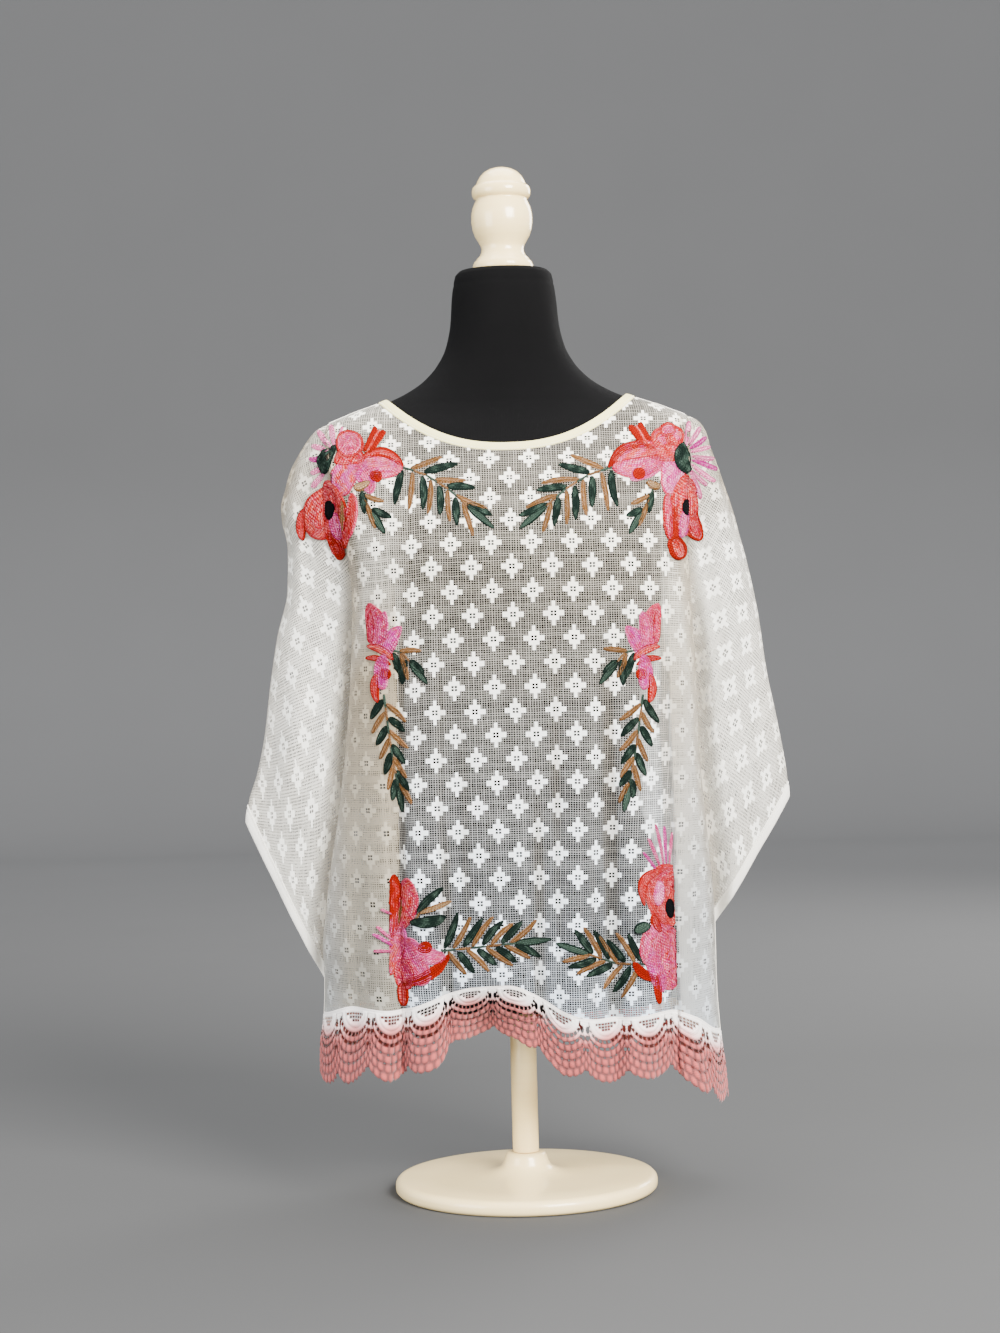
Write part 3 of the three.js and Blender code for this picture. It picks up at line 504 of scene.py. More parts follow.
# ---------------------------------------------------------------- node helpers
def new_material(name):
    material = bpy.data.materials.new(name)
    material.use_nodes = True
    nodes = material.node_tree.nodes
    nodes.clear()
    out = nodes.new("ShaderNodeOutputMaterial")
    shader = nodes.new("ShaderNodeBsdfPrincipled")
    material.node_tree.links.new(shader.outputs[0], out.inputs[0])
    return material, shader


class Graph:
    """Short hand for building node trees."""

    def __init__(self, material):
        self.tree = material.node_tree

    def node(self, kind, **settings):
        made = self.tree.nodes.new("ShaderNode" + kind)
        for key, value in settings.items():
            setattr(made, key, value)
        return made

    def feed(self, socket, value):
        if isinstance(value, bpy.types.NodeSocket):
            self.tree.links.new(value, socket)
        else:
            socket.default_value = value

    def maths(self, operation, *values):
        made = self.node("Math", operation=operation)
        for socket, value in zip(made.inputs, values):
            self.feed(socket, value)
        return made.outputs[0]

    def blend(self, share, a, b, kind="MIX"):
        made = self.node("Mix", data_type="RGBA", blend_type=kind)
        self.feed(made.inputs[0], share)
        self.feed(made.inputs[6], a)
        self.feed(made.inputs[7], b)
        return made.outputs[2]

    def split(self, vector):
        made = self.node("SeparateXYZ")
        self.feed(made.inputs[0], vector)
        return made.outputs

    def uv(self):
        return self.node("UVMap", uv_map="cloth").outputs[0]

    def tone(self):
        return self.node("Attribute", attribute_name="tone", attribute_type="GEOMETRY").outputs["Color"]

    def tuned(self, colour, saturation, value):
        made = self.node("HueSaturation")
        made.inputs["Saturation"].default_value = saturation
        made.inputs["Value"].default_value = value
        self.feed(made.inputs["Color"], colour)
        return made.outputs["Color"]

    def noise(self, vector, scale, detail=2.0):
        made = self.node("TexNoise")
        self.feed(made.inputs["Vector"], vector)
        made.inputs["Scale"].default_value = scale
        made.inputs["Detail"].default_value = detail
        made.inputs["Roughness"].default_value = 0.5
        return made.outputs["Fac"]

    def remap(self, value, a, b, c=0.0, d=1.0):
        made = self.node("MapRange", clamp=True)
        for socket, item in zip(made.inputs, (value, a, b, c, d)):
            self.feed(socket, item)
        return made.outputs[0]

    def bump(self, height, strength, distance):
        made = self.node("Bump")
        made.inputs["Strength"].default_value = strength
        made.inputs["Distance"].default_value = distance
        self.feed(made.inputs["Height"], height)
        return made.outputs[0]


def grey(level):
    return (level, level, level, 1)


def colour(r, g, b):
    """Screen colour of 0 to 255 as a linear one."""
    linear = [((c / 255 + 0.055) / 1.055) ** 2.4 if c > 10 else c / 255 / 12.92 for c in (r, g, b)]
    return (*linear, 1.0)


# The weave, in metres: pitch of its threads, of its stars, and the half sizes of a star's blocks
WARP, WEFT = 0.0026, 0.00235
LATTICE_X, LATTICE_Z = 0.0412, 0.049
STAR = [(0.0108, 0.0026), (0.0055, 0.0070), (0.0017, 0.0125)]
STAR_HOLE, STAR_THREAD = (0.0029, 0.0026), 0.00045
STAR_START = 0.0203


def box_mask(g, u, w, half_u, half_w):
    inside_u = g.maths("LESS_THAN", g.maths("ABSOLUTE", u), half_u)
    inside_w = g.maths("LESS_THAN", g.maths("ABSOLUTE", w), half_w)
    return g.maths("MULTIPLY", inside_u, inside_w)


def motif_mask(g, u, w):
    """One woven star of stepped blocks, and the small crossed opening in its middle."""
    total = None
    for half_u, half_w in STAR:
        mask = box_mask(g, u, w, half_u, half_w)
        total = mask if total is None else g.maths("MAXIMUM", total, mask)
    hole = box_mask(g, u, w, *STAR_HOLE)
    nearest = g.maths("MINIMUM", g.maths("ABSOLUTE", u), g.maths("ABSOLUTE", w))
    crossing = g.maths("LESS_THAN", nearest, STAR_THREAD)
    return total, g.maths("MULTIPLY", hole, g.maths("SUBTRACT", 1.0, crossing))


def wrapped(g, value, period, shift):
    """Place within its own repeat, from the repeat's middle."""
    turned = g.maths("FRACT", g.maths("ADD", g.maths("DIVIDE", value, period), shift))
    return g.maths("MULTIPLY", g.maths("SUBTRACT", turned, 0.5), period)


# Thread colours: the single net, the net where cloth lies over cloth, the woven stars, and the painted shade
# for folds, hollows and sleeve rims
NET = {
    "low": colour(128, 122, 112), "high": colour(151, 145, 133),
    "pale_low": colour(200, 192, 174), "pale_high": colour(222, 217, 204),
    "star_low": colour(242, 236, 219), "star_high": colour(253, 249, 236),
    "shade": colour(174, 160, 138), "cool": (0.76, 0.93, 1.28, 1),
}


def threads(g, place, pitch, room, uneven):
    """Mask of the threads across one direction: each has its own width and a small wander."""
    number = g.maths("FLOOR", g.maths("ADD", g.maths("DIVIDE", place, pitch), 0.5))
    own = g.node("TexWhiteNoise", noise_dimensions="1D")
    g.feed(own.inputs["W"], number)
    width = g.remap(own.outputs["Value"], 0.0, 1.0, 0.55, 1.5)
    width = g.maths("MULTIPLY", width, g.maths("MULTIPLY", uneven, room))
    off = g.maths("ABSOLUTE", wrapped(g, place, pitch, 0.5))
    return g.maths("LESS_THAN", off, g.maths("MULTIPLY", width, pitch))


def weave_material(name, open_share, coolness=1.0):
    """Sheer open weave with woven stars, from cloth coordinates in metres."""
    material, shader = new_material(name)
    g = Graph(material)
    uv = g.uv()
    u, w = g.split(uv)[:2]
    small = g.maths("MULTIPLY", g.maths("SUBTRACT", g.noise(uv, 60.0), 0.5), 0.0008)
    u, w = g.maths("ADD", u, small), g.maths("SUBTRACT", w, small)
    across = g.maths("ADD", u, STAR_START)
    first = motif_mask(g, wrapped(g, across, LATTICE_X, 0.5), wrapped(g, w, LATTICE_Z, 0.5))
    second = motif_mask(g, wrapped(g, across, LATTICE_X, 0.0), wrapped(g, w, LATTICE_Z, 0.0))
    stars = g.maths("MAXIMUM", first[0], second[0])
    opening = g.maths("MAXIMUM", first[1], second[1])
    double, light, shaded = g.split(g.tone())
    # threads are thicker where the cloth is doubled by a laid-over pleat, so it is less open
    width = g.remap(g.noise(uv, 420.0), 0.3, 0.7, 0.8, 1.2)
    width = g.maths("MULTIPLY", width, g.maths("ADD", 1.0, g.maths("MULTIPLY", double, 1.5)))
    warp = threads(g, u, WARP, 0.26 * (1 - open_share), width)
    weft = threads(g, w, WEFT, 0.28 * (1 - open_share), width)
    net = g.maths("MAXIMUM", warp, weft)
    cover = g.maths("MULTIPLY", g.maths("MAXIMUM", net, stars), g.maths("SUBTRACT", 1.0, opening))
    fibres = g.noise(uv, 1400.0, 3.0)
    shade = g.noise(uv, 9.0, 3.0)
    ground = g.blend(shade, NET["low"], NET["high"])
    ground = g.blend(light, ground, g.blend(shade, NET["pale_low"], NET["pale_high"]))
    cloth = g.blend(stars, ground, g.blend(fibres, NET["star_low"], NET["star_high"]))
    # painted shade: the tone's third channel darkens the cloth towards beige in folds, hollows and along the
    # sleeve folds
    cloth = g.blend(shaded, cloth, NET["shade"], "MULTIPLY")
    cloth = g.blend(g.remap(w, 0.15, 0.64, coolness, 0.0), cloth, NET["cool"], "MULTIPLY")
    g.feed(shader.inputs["Base Color"], cloth)
    g.feed(shader.inputs["Alpha"], g.maths("MULTIPLY", cover, g.remap(fibres, 0.25, 0.6, 0.86, 1.0)))
    g.feed(shader.inputs["Roughness"], g.remap(fibres, 0.2, 0.8, 0.72, 0.95))
    ridges = g.maths("ADD", g.maths("MULTIPLY", stars, 0.7), g.maths("MULTIPLY", fibres, 0.6))
    g.feed(shader.inputs["Normal"], g.bump(ridges, 0.5, 0.0006))
    shader.inputs["Sheen Weight"].default_value = 0.15
    shader.inputs["Sheen Roughness"].default_value = 0.5
    shader.inputs["Specular IOR Level"].default_value = 0.2
    return material


# ---------------------------------------------------------------- camera, light and floor
# Size of a pixel in mm, the picture's height in pixels, the pixel of the form's axis and the camera's roll
PIXEL, PIXELS = 1.07, 1333
AXIS_PX, AXIS_PY = 510.6, 560
LEVEL_PX, TOP_Z = 505, 1272
TILT = 0.026
HIGH = PIXEL * PIXELS * MM
DISTANCE = 2.6
SENSOR = 36


def photo_mm(px, py):
    """Where a pixel of the photograph lies in the upright plane through the form's axis."""
    x = PIXEL * ((px - AXIS_PX) + TILT * (AXIS_PY - py))
    return x, TOP_Z - PIXEL * (py + TILT * (px - LEVEL_PX))


middle = photo_mm(500, 666.5)
camera = bpy.data.cameras.new("camera")
camera.sensor_fit = "VERTICAL"
camera.sensor_height = SENSOR
camera.lens = SENSOR / (HIGH / DISTANCE)
viewer = bpy.data.objects.new("camera", camera)
viewer.location = (middle[0] * MM, -DISTANCE, middle[1] * MM)
viewer.rotation_mode = "XYZ"
viewer.rotation_euler = (math.radians(90), TILT, 0)
bpy.context.scene.collection.objects.link(viewer)
bpy.context.scene.camera = viewer


def lamp(name, place, aim, size, power, tint=(1, 1, 1)):
    data = bpy.data.lights.new(name, "AREA")
    data.shape = "RECTANGLE"
    data.size, data.size_y = size
    data.energy = power
    data.color = tint
    obj = bpy.data.objects.new(name, data)
    obj.location = place
    obj.rotation_euler = (Vector(aim) - Vector(place)).to_track_quat("-Z", "Y").to_euler()
    bpy.context.scene.collection.objects.link(obj)


lamp("key", (1.5, -2.5, 1.9), (0, 0, 0.55), (1.5, 1.5), 430, (1, 0.985, 0.955))
lamp("fill", (-2.4, -2.0, 1.0), (0, 0, 0.5), (1.6, 2.0), 110, (0.95, 0.97, 1))
lamp("top", (0.0, 0.3, 3.0), (0, 0, 0.5), (2.2, 1.8), 90, (1, 1, 1))
lamp("rim", (1.8, 2.2, 1.8), (0, 0, 0.6), (1.2, 1.6), 80, (1, 0.99, 0.97))

world = bpy.data.worlds.new("studio")
world.use_nodes = True
world.node_tree.nodes["Background"].inputs[0].default_value = (0.62, 0.63, 0.65, 1)
world.node_tree.nodes["Background"].inputs[1].default_value = 2.5
bpy.context.scene.world = world

# Floor that curves up into a backdrop, far enough off to look at the back too
NEAR, BEND_RADIUS, BACKDROP_TOP, FLOOR_HALF = 4.8, 1.4, 7.0, 9.0
profile = [(-8.0, 0.0), (0.0, 0.0), (NEAR, 0.0)]
for a in np.linspace(0.05, math.pi / 2, 24):
    profile += [(NEAR + BEND_RADIUS * math.sin(a), BEND_RADIUS * (1 - math.cos(a)))]
profile += [(NEAR + BEND_RADIUS, BACKDROP_TOP)]
line = np.array([[[x, y, z] for x in (-FLOOR_HALF, FLOOR_HALF)] for y, z in profile]) / MM
floor = put("floor", line, grid_faces(len(profile), 2, flip=True))
material, shader = new_material("floor_paper")
g = Graph(material)
place = g.node("TexCoord").outputs["Object"]
grain = g.noise(place, 3.0)
# painted light: the paper is darker near the form and paler far back, evening out the lamps' fall-off so the
# backdrop shows one grey
near = g.blend(grain, grey(0.043), grey(0.046))
far = g.blend(grain, grey(0.136), grey(0.143))
g.feed(shader.inputs["Base Color"], g.blend(g.remap(g.split(place)[1], 0.8, 4.5), near, far))
shader.inputs["Roughness"].default_value = 0.9
floor.data.materials.append(material)

# ---------------------------------------------------------------- the cloth
def panel(face, lace_top, open_share):
    points, uv, tone = panel_grid(face, lace_top)
    rows, columns = points.shape[:2]
    obj = put("cloth_" + face, points, grid_faces(rows, columns, flip=face == "back"), uv, tone)
    obj.data.materials.append(weave_material("weave_" + face, open_share))
    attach(obj, "root")
    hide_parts(face)
    return obj


front = panel("front", LACE_TOP_FRONT, 0.5)
back = panel("back", LACE_TOP_BACK, 0.46)

# Sleeves: rows from the shoulder to the cuff, columns from the front groove over the fold to the back
SLEEVE_TURN = math.radians(50)
SLEEVE_ROWS, SLEEVE_HALF = 150, 40
SLEEVE_TOP_Z = 821.4
# Plumpness toward the fold, the share in which it leaves the body, and where the lengthwise folds start
FULL_POWER, LEAVING = 2.6, 0.24
WAVE_TOP_Z, WAVE_RUN, WAVE_LENGTH = 800, 120, 560
# Side, its name, and the heights of the cuff band's two edges in the groove
CUFFS = ((-1, "left", 230, 249.4), (1, "right", 279, 295.4))


def sleeve_points(side, groove_z, across):
    """Points of a sleeve by height in the groove and place across: -1 front groove, 0 fold, 1 back groove."""
    rows_table = (ROWS_LEFT if side < 0 else ROWS_RIGHT)[::-1]
    outline = through(FOLD_LEFT if side < 0 else FOLD_RIGHT)
    fold_z, half = through(rows_table, 1)(groove_z), through(rows_table, 2)(groove_z)
    fold = outline(fold_z)
    groove = np.where(side < 0, side_left(groove_z), side_right(groove_z))
    out = 1 - np.abs(across) ** 2
    x, z = mix(groove, fold, out), mix(groove_z, fold_z, out)
    depth = []
    for face, share in (("front", 1.0), ("back", BACK_SHARE)):
        start = cloth_depth(face, groove, groove_z)
        full = half * share * np.sqrt(np.maximum(0, 1 - out**FULL_POWER))
        d = mix(start, full, ease(out / LEAVING))
        d = np.maximum(np.maximum(d, rest_depth(face, x, z)), SEAM_HALF)
        depth.append(np.where(np.abs(across) < 1e-6, 0, d))
    y = np.where(across < 0, -depth[0], depth[1])
    swell = np.abs(across) * (1 - np.abs(across)) * 4 * ease((WAVE_TOP_Z - groove_z) / WAVE_RUN)
    down = (WAVE_TOP_Z - groove_z) / WAVE_LENGTH
    wave = 2.6 * np.sin(9.0 * out + 5.0 * down + side) + 1.6 * np.sin(17.0 * out - 7.0 * down + 2.0)
    y = y - np.sign(-across) * wave * swell * 0.8
    return np.stack([x, y, z], -1)


def sleeve_tones(groove_z, across, shape):
    """Of each point: how doubled the cloth is, how pale, and how much painted shade lies along the fold, at the
    grooves and over the upper sleeve.
    """
    upper = ease((groove_z - 640) / 120)
    # painted shade: strongest along the outer fold, where the sleeve turns away, and at the grooves by the
    # body; a lighter wash of it lies over the upper sleeve
    rim = (0.5 + 1.0 * upper) * np.exp(-((across / 0.3) ** 2)) + 0.8 * ease((np.abs(across) - 0.9) / 0.1)
    rim = 0.75 * rim + 0.55 * upper
    light = 0.92 - 0.04 * ease((groove_z - 620) / 120) - 0.2 * ease((430 - groove_z) / 90)
    return np.stack([np.full(shape, 0.22), np.broadcast_to(light, shape), np.broadcast_to(rim, shape)], -1)


def sleeve_piece(side, end, low, high):
    node = "sleeve_" + end
    groove_z = np.linspace(high, low, SLEEVE_ROWS)[:, None]
    across = np.linspace(-1, 1, 2 * SLEEVE_HALF + 1)[None, :]
    shape = np.broadcast(groove_z, across).shape
    grid = sleeve_points(side, np.broadcast_to(groove_z, shape), np.broadcast_to(across, shape))
    down = np.zeros(shape)
    down[1:] = np.cumsum(np.linalg.norm(np.diff(grid, axis=0), axis=-1), axis=0)
    s = down[:, SLEEVE_HALF][:, None] + 0 * down
    steps = np.linalg.norm(np.diff(grid, axis=1), axis=-1)
    run = np.concatenate([np.zeros((SLEEVE_ROWS, 1)), np.cumsum(steps, axis=1)], axis=1)
    t = run - run[:, [SLEEVE_HALF]]
    c, w = math.cos(SLEEVE_TURN), math.sin(SLEEVE_TURN)
    uv = np.stack([s * c - side * t * w + 11, -s * w - side * t * c - 7], -1) * MM
    tones = sleeve_tones(groove_z, across, shape)
    obj = put("cloth_" + node, grid, grid_faces(*shape, flip=side < 0), uv, tones)
    obj.data.materials.append(weave_material("weave_" + node, 0.36, 0.15))
    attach(obj, "root")
    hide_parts(node)
    return obj


sleeves = {end: sleeve_piece(side, end, low + 1, SLEEVE_TOP_Z) for side, end, low, _ in CUFFS}


# ---------------------------------------------------------------- cuffs, neck and seams
def hem_material(name, low, high, twill=900.0):
    """Plain folded cotton: fine ribs and thread speckle."""
    material, shader = new_material(name)
    g = Graph(material)
    uv = g.uv()
    u, v = g.split(uv)[:2]
    speckle = g.noise(uv, 900.0, 3.0)
    broad = g.noise(uv, 40.0, 3.0)
    patchy = g.maths("MULTIPLY", g.maths("ADD", speckle, broad), 0.5)
    g.feed(shader.inputs["Base Color"], g.blend(patchy, low, high))
    warp = g.maths("SINE", g.maths("MULTIPLY", u, 2 * math.pi * twill))
    weft = g.maths("SINE", g.maths("MULTIPLY", v, 2 * math.pi * twill))
    thread = g.maths("MULTIPLY", warp, weft)
    g.feed(shader.inputs["Normal"], g.bump(g.maths("ADD", thread, speckle), 0.4, 0.0004))
    g.feed(shader.inputs["Roughness"], g.remap(speckle, 0.2, 0.8, 0.7, 0.92))
    shader.inputs["Sheen Weight"].default_value = 0.2
    shader.inputs["Specular IOR Level"].default_value = 0.25
    return material


def grid_normals(grid):
    return unit(np.cross(np.gradient(grid, axis=0), np.gradient(grid, axis=1)))


def lengths_along(line):
    steps = np.linalg.norm(np.diff(line, axis=0), axis=-1)
    return np.concatenate([[0], np.cumsum(steps)])


# Cross-section of a folded hem: share of its width up from the edge, and height off the cloth
HEM_SECTION = [
    (1.0, 0.2), (0.99, 0.75), (0.9, 0.95), (0.82, 0.55), (0.78, 0.5), (0.7, 0.9), (0.45, 1.0), (0.2, 0.95),
    (0.05, 0.7), (-0.04, 0.0), (0.05, -0.7), (0.2, -0.95), (0.6, -0.95), (0.95, -0.8), (1.0, -0.2),
]


CUFF_COLUMNS = 161


def cuff(side, end, low, high):
    across = np.linspace(-1, 1, CUFF_COLUMNS)
    away = np.stack([0 * across + side * 0.3, np.sign(across + 1e-9), 0 * across], -1)
    rows = []
    for share, height in HEM_SECTION:
        z = np.full_like(across, mix(low, high, share))
        line = sleeve_points(side, z, across)
        above = sleeve_points(side, z + 1.5, across)
        outward = unit(np.cross(above - line, np.gradient(line, axis=0))) * -side
        outward *= np.sign(np.sum(outward * away, axis=-1, keepdims=True) + 1e-9)
        rows.append(line + outward * height)
    grid = np.stack(rows)
    u = lengths_along(grid[6])[None, :] + 0 * grid[..., 0]
    v = 9.0 * np.arange(len(rows))[:, None] / len(rows) + 0 * u
    faces = grid_faces(len(rows), CUFF_COLUMNS, flip=side < 0)
    obj = put("cuff_band_" + end, grid, faces, np.stack([u, v], -1) * MM)
    obj.data.materials.append(hem_material("cuff_band_" + end, colour(232, 226, 212), colour(250, 247, 240)))
    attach(obj, "root")
    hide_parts("cuff_" + end)
    return obj


cuffs = {row[1]: cuff(*row) for row in CUFFS}

# Neck binding: a folded tape with a stitched lower edge
BINDING_SECTION = [
    (0.0, -1.1), (-0.05, -0.4), (-0.02, 0.4), (0.06, 0.95), (0.2, 1.25), (0.5, 1.3), (0.72, 1.15), (0.8, 0.75),
    (0.86, 0.75), (0.93, 1.0), (1.0, 0.6), (1.02, -0.2),
]
NECK_COLUMNS = 360
angles = np.linspace(-math.pi, math.pi, NECK_COLUMNS + 1)[:-1]
rings = []
for out, height in BINDING_SECTION:
    p = neck_points(angles, BINDING_WIDTH * out + 1e-3)
    pucker = 0.12 * np.sin(angles * 75)[:, None] * (out > 0.6)
    rings.append(p + unit(rest_slope(p)) * (height - 0.25 + pucker))
grid = np.stack(rings)
u = lengths_along(grid[4])[None, :] + 0 * grid[..., 0]
v = 1.2 * np.arange(len(rings))[:, None] + 0 * u
faces = grid_faces(len(rings), NECK_COLUMNS, wrap=True, flip=True)
binding = put("neck_binding_tape", grid, faces, np.stack([u, v], -1) * MM)
binding.data.materials.append(hem_material("neck_binding", colour(236, 222, 146), colour(248, 238, 174), 800.0))
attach(binding, "root")
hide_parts("neck_binding")


def stitches(name, line, outward, pitch, length, width, tone):
    """Short rounded stitches along a line."""
    run = lengths_along(line)
    count = int(run[-1] / pitch)
    at = (np.arange(count) + 0.5) * pitch
    ends = []
    for shift in (-0.5, -0.2, 0.2, 0.5):
        ends.append(np.stack([np.interp(at + shift * length, run, line[:, k]) for k in range(3)], -1))
    normal = unit(np.stack([np.interp(at, run, outward[:, k]) for k in range(3)], -1))
    side = unit(np.cross(ends[-1] - ends[0], normal))
    points, faces = [], []
    for end, fat, up in zip(ends, (0.45, 1, 1, 0.45), (-0.3, 0.35, 0.35, -0.3)):
        for dx, dz in ((-1, 0), (0, 0.8), (1, 0)):
            points.append(end + side * dx * fat * width / 2 + normal * (up * width + dz * fat * width * 0.7))
    points = np.stack(points, 1).reshape(-1, 3)
    for i in range(3):
        for j in range(2):
            faces.append([i * 3 + j, i * 3 + j + 1, i * 3 + j + 4, i * 3 + j + 3])
    faces = (np.array(faces)[None] + 12 * np.arange(count)[:, None, None]).reshape(-1, 4)
    obj = put(name, points, faces, np.repeat(np.stack([at, at * 0], -1), 12, axis=0) * MM)
    obj.data.materials.append(tone)
    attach(obj, "root")
    return obj


thread_tone = hem_material("sewing_thread", colour(236, 230, 208), colour(250, 246, 232), 2500.0)
line = neck_points(angles, BINDING_WIDTH * 0.83)
line = np.concatenate([line, line[:1]])
outward = unit(rest_slope(line))
neck_stitches = stitches("neck_stitches", line + outward * 0.55, outward, 3.0, 2.3, 0.8,
                         thread_tone)
for side, end, low, high in CUFFS:
    across = np.linspace(-0.985, 0.985, 400)
    line = sleeve_points(side, np.full_like(across, mix(low, high, 0.8)), across)
    outward = unit(np.stack([0.25 * side + 0 * across, np.sign(across), 0 * across], -1))
    stitches("cuff_stitches_" + end, line + outward * 0.5, outward, 3.2, 2.4, 0.75,
                                  thread_tone)


def seam_roll(name, line, outward, size, material):
    """A thin pressed seam lying along a line."""
    tangent = unit(np.gradient(line, axis=0))
    side = unit(np.cross(tangent, outward))
    section = [(-1, -0.1), (-0.7, 0.35), (0, 0.5), (0.7, 0.35), (1, -0.1)]
    grid = np.stack([line + side * a * size + outward * b * size for a, b in section], 1)
    u = lengths_along(line)[:, None] + 0 * grid[..., 0]
    v = size * 0.6 * np.arange(len(section))[None, :] + 0 * u
    obj = put(name, grid, grid_faces(len(line), len(section)), np.stack([u, v], -1) * MM)
    obj.data.materials.append(material)
    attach(obj, "root")


seam_tone = hem_material("seam_cloth", colour(226, 219, 203), colour(242, 238, 228))
for side, end in ((-1, "left"), (1, "right")):
    edge = side_left if side < 0 else side_right
    # the seam over the shoulder, then the side seam below the underarm
    x = side * np.linspace(138.5, 190, 60)
    line = np.stack([x, 0 * x, shoulder_z(x) + 0.6], -1)
    outward = unit(np.stack([0.25 * side + 0 * x, 0 * x, 1 + 0 * x], -1))
    seam_roll("shoulder_seam_" + end, line, outward, 1.3, seam_tone)
    z = np.linspace(UNDERARM[side] + 2, 188 if side < 0 else 158, 60)
    line = np.stack([edge(z) + side * 0.3, 0 * z, z], -1)
    outward = np.stack([side + 0 * z, 0 * z, 0 * z], -1)
    seam_roll("side_seam_" + end, line, outward, 1.2, seam_tone)

# ---------------------------------------------------------------- the lace border
# A scallop's width and depth, where its outer rings start, and how wide the whole border may curl
REPEAT, DEEP = 52.0, 74.0
HALF = REPEAT / 2
RING_FROM, RING_TO = 27.0, DEEP
HEM_LIMIT = 216.0
PETALS = 9
# Rings of the crochet: depth, half width, height and how many puffs
PUFFS = [
    (18.2, 2.2, 0.9, 0), (22.8, 2.2, 0.9, 0), (31.2, 4.0, 1.4, 8), (40.4, 4.7, 2.0, 8), (50.0, 4.8, 2.0, 8),
    (59.5, 4.8, 2.0, 9), (68.6, 4.8, 1.8, 9),
]
# Rings of slots: depth, height, how many, length, and the angle they spread to
SLOTS = [
    (27.2, 3.4, 12, 4.0, 1.45), (35.4, 3.0, 9, 5.0, 1.3), (45.3, 1.7, 8, 2.0, 1.3), (54.8, 1.7, 9, 1.9, 1.3),
]
SLOT_RADIUS = 25.0
# Rows of the netted half moon: depth and columns to each side. Drops between scallops: place and half sizes
NET_ROWS, NET_PITCH = ((6.6, 3.4), (10.0, 2.6), (13.2, 1.6)), 3.8
DROPS = ((3.1, 13.0, 2.0, 4.2), (2.2, 22.5, 1.6, 2.8), (1.9, 36, 1.2, 2.0))
NO_HOLE = -5.0
# Lace mesh: its cell, the height at which its length is measured, and the pattern's shift in front
CELL, LACE_Z, LACE_SHIFT = 0.84, 175.0, 9.0


def ring_level(x, y):
    """Depth, on a scallop's middle line, of the ring through a point. Rings are half ellipses."""
    q = np.linspace(8, DEEP + 4, 160)
    t = np.clip((q - RING_FROM) / (RING_TO - RING_FROM), 0, 1.1)
    wide = np.where(q < RING_FROM, (q - 4), 23 + 8 * t) * HALF / 27.5
    sag = np.where(q < RING_FROM, (q - 4), 23 + 3 * t)
    ax = np.abs(x)
    best = np.full(x.shape, np.nan)
    angle = np.zeros(x.shape)
    for i in range(len(q) - 1):
        if wide[i + 1] <= 0:
            continue
        arch = [np.sqrt(np.clip(1 - (ax / wide[k]) ** 2, 0, None)) for k in (i, i + 1)]
        lower, upper = (q[k] - sag[k] + sag[k] * arch[k - i] for k in (i, i + 1))
        inside = (y >= lower) & (y < upper) & (ax < wide[i + 1])
        share = np.clip((y - lower) / np.maximum(upper - lower, 1e-6), 0, 1)
        best = np.where(inside, q[i] + share * (q[i + 1] - q[i]), best)
        angle = np.where(inside, np.arcsin(np.clip(x / wide[i + 1], -1, 1)), angle)
    return best, angle


def slots(q, angle, at, tall, count, long, spread):
    """Rounded slots along a ring: negative outside them, in millimetres."""
    step = 2 * spread / count
    off = (angle + spread) / step - 0.5
    near = np.clip(np.round(off), 0, count - 1)
    return np.minimum(long / 2 - np.abs(off - near) * step * SLOT_RADIUS, tall / 2 - np.abs(q - at))


def lace_field(x, y):
    """Openness (above 0 is a hole), height, and how raised the lace is at a place in its pattern; the last sets
    the painted shade in its creases.
    """
    local = (x / REPEAT + 0.5) % 1.0 * REPEAT - HALF
    q, angle = ring_level(local, y)
    top = np.isnan(q)
    q = np.where(top, 0, q)
    hole = np.full(x.shape, NO_HOLE)
    for at, half in NET_ROWS:
        column = np.round(local / NET_PITCH)
        net = np.minimum(1.4 - np.abs(local - column * NET_PITCH), 1.2 - np.abs(y - at))
        hole = np.maximum(hole, np.where(np.abs(column) <= half, net, NO_HOLE))
    for ring in SLOTS:
        hole = np.maximum(hole, slots(q, angle, *ring))
    side = HALF - np.abs(local)
    for cx, cy, rx, ry in DROPS:
        d = np.hypot((side - cx) / rx, (y - cy) / ry)
        hole = np.maximum(hole, (1 - d) * min(rx, ry))
    # petalled outer edge
    petal = np.abs(np.sin((angle + 1.2) / 2.4 * math.pi * PETALS)) ** 0.6
    hole = np.maximum(hole, q - (70.6 + 3.2 * petal))
    hole = np.where(y > 60, np.maximum(hole, np.where(top, 1.0, NO_HOLE)), hole)
    # heights: plain rings, and rings of puffs with a crease between each two; shade, low in the creases, sets
    # the painted shade there
    fat, shade = np.full(x.shape, 0.35), np.full(x.shape, 0.12)
    for ring, (at, wide, high, count) in enumerate(PUFFS):
        turn = (angle + 1.3) / 2.6 * count + 0.5 * (ring % 2)
        crease = np.sqrt(np.abs(np.sin(turn * math.pi))) if count else 1.0
        dome = np.sqrt(np.clip(1 - ((q - at) / wide) ** 2, 0, 1))
        fat = fat + high * dome * crease
        shade = np.maximum(shade, dome * crease)
    fat = np.where(top, 0.5 + 0.25 * np.sin(y * 2.2), fat)
    return hole, fat, shade


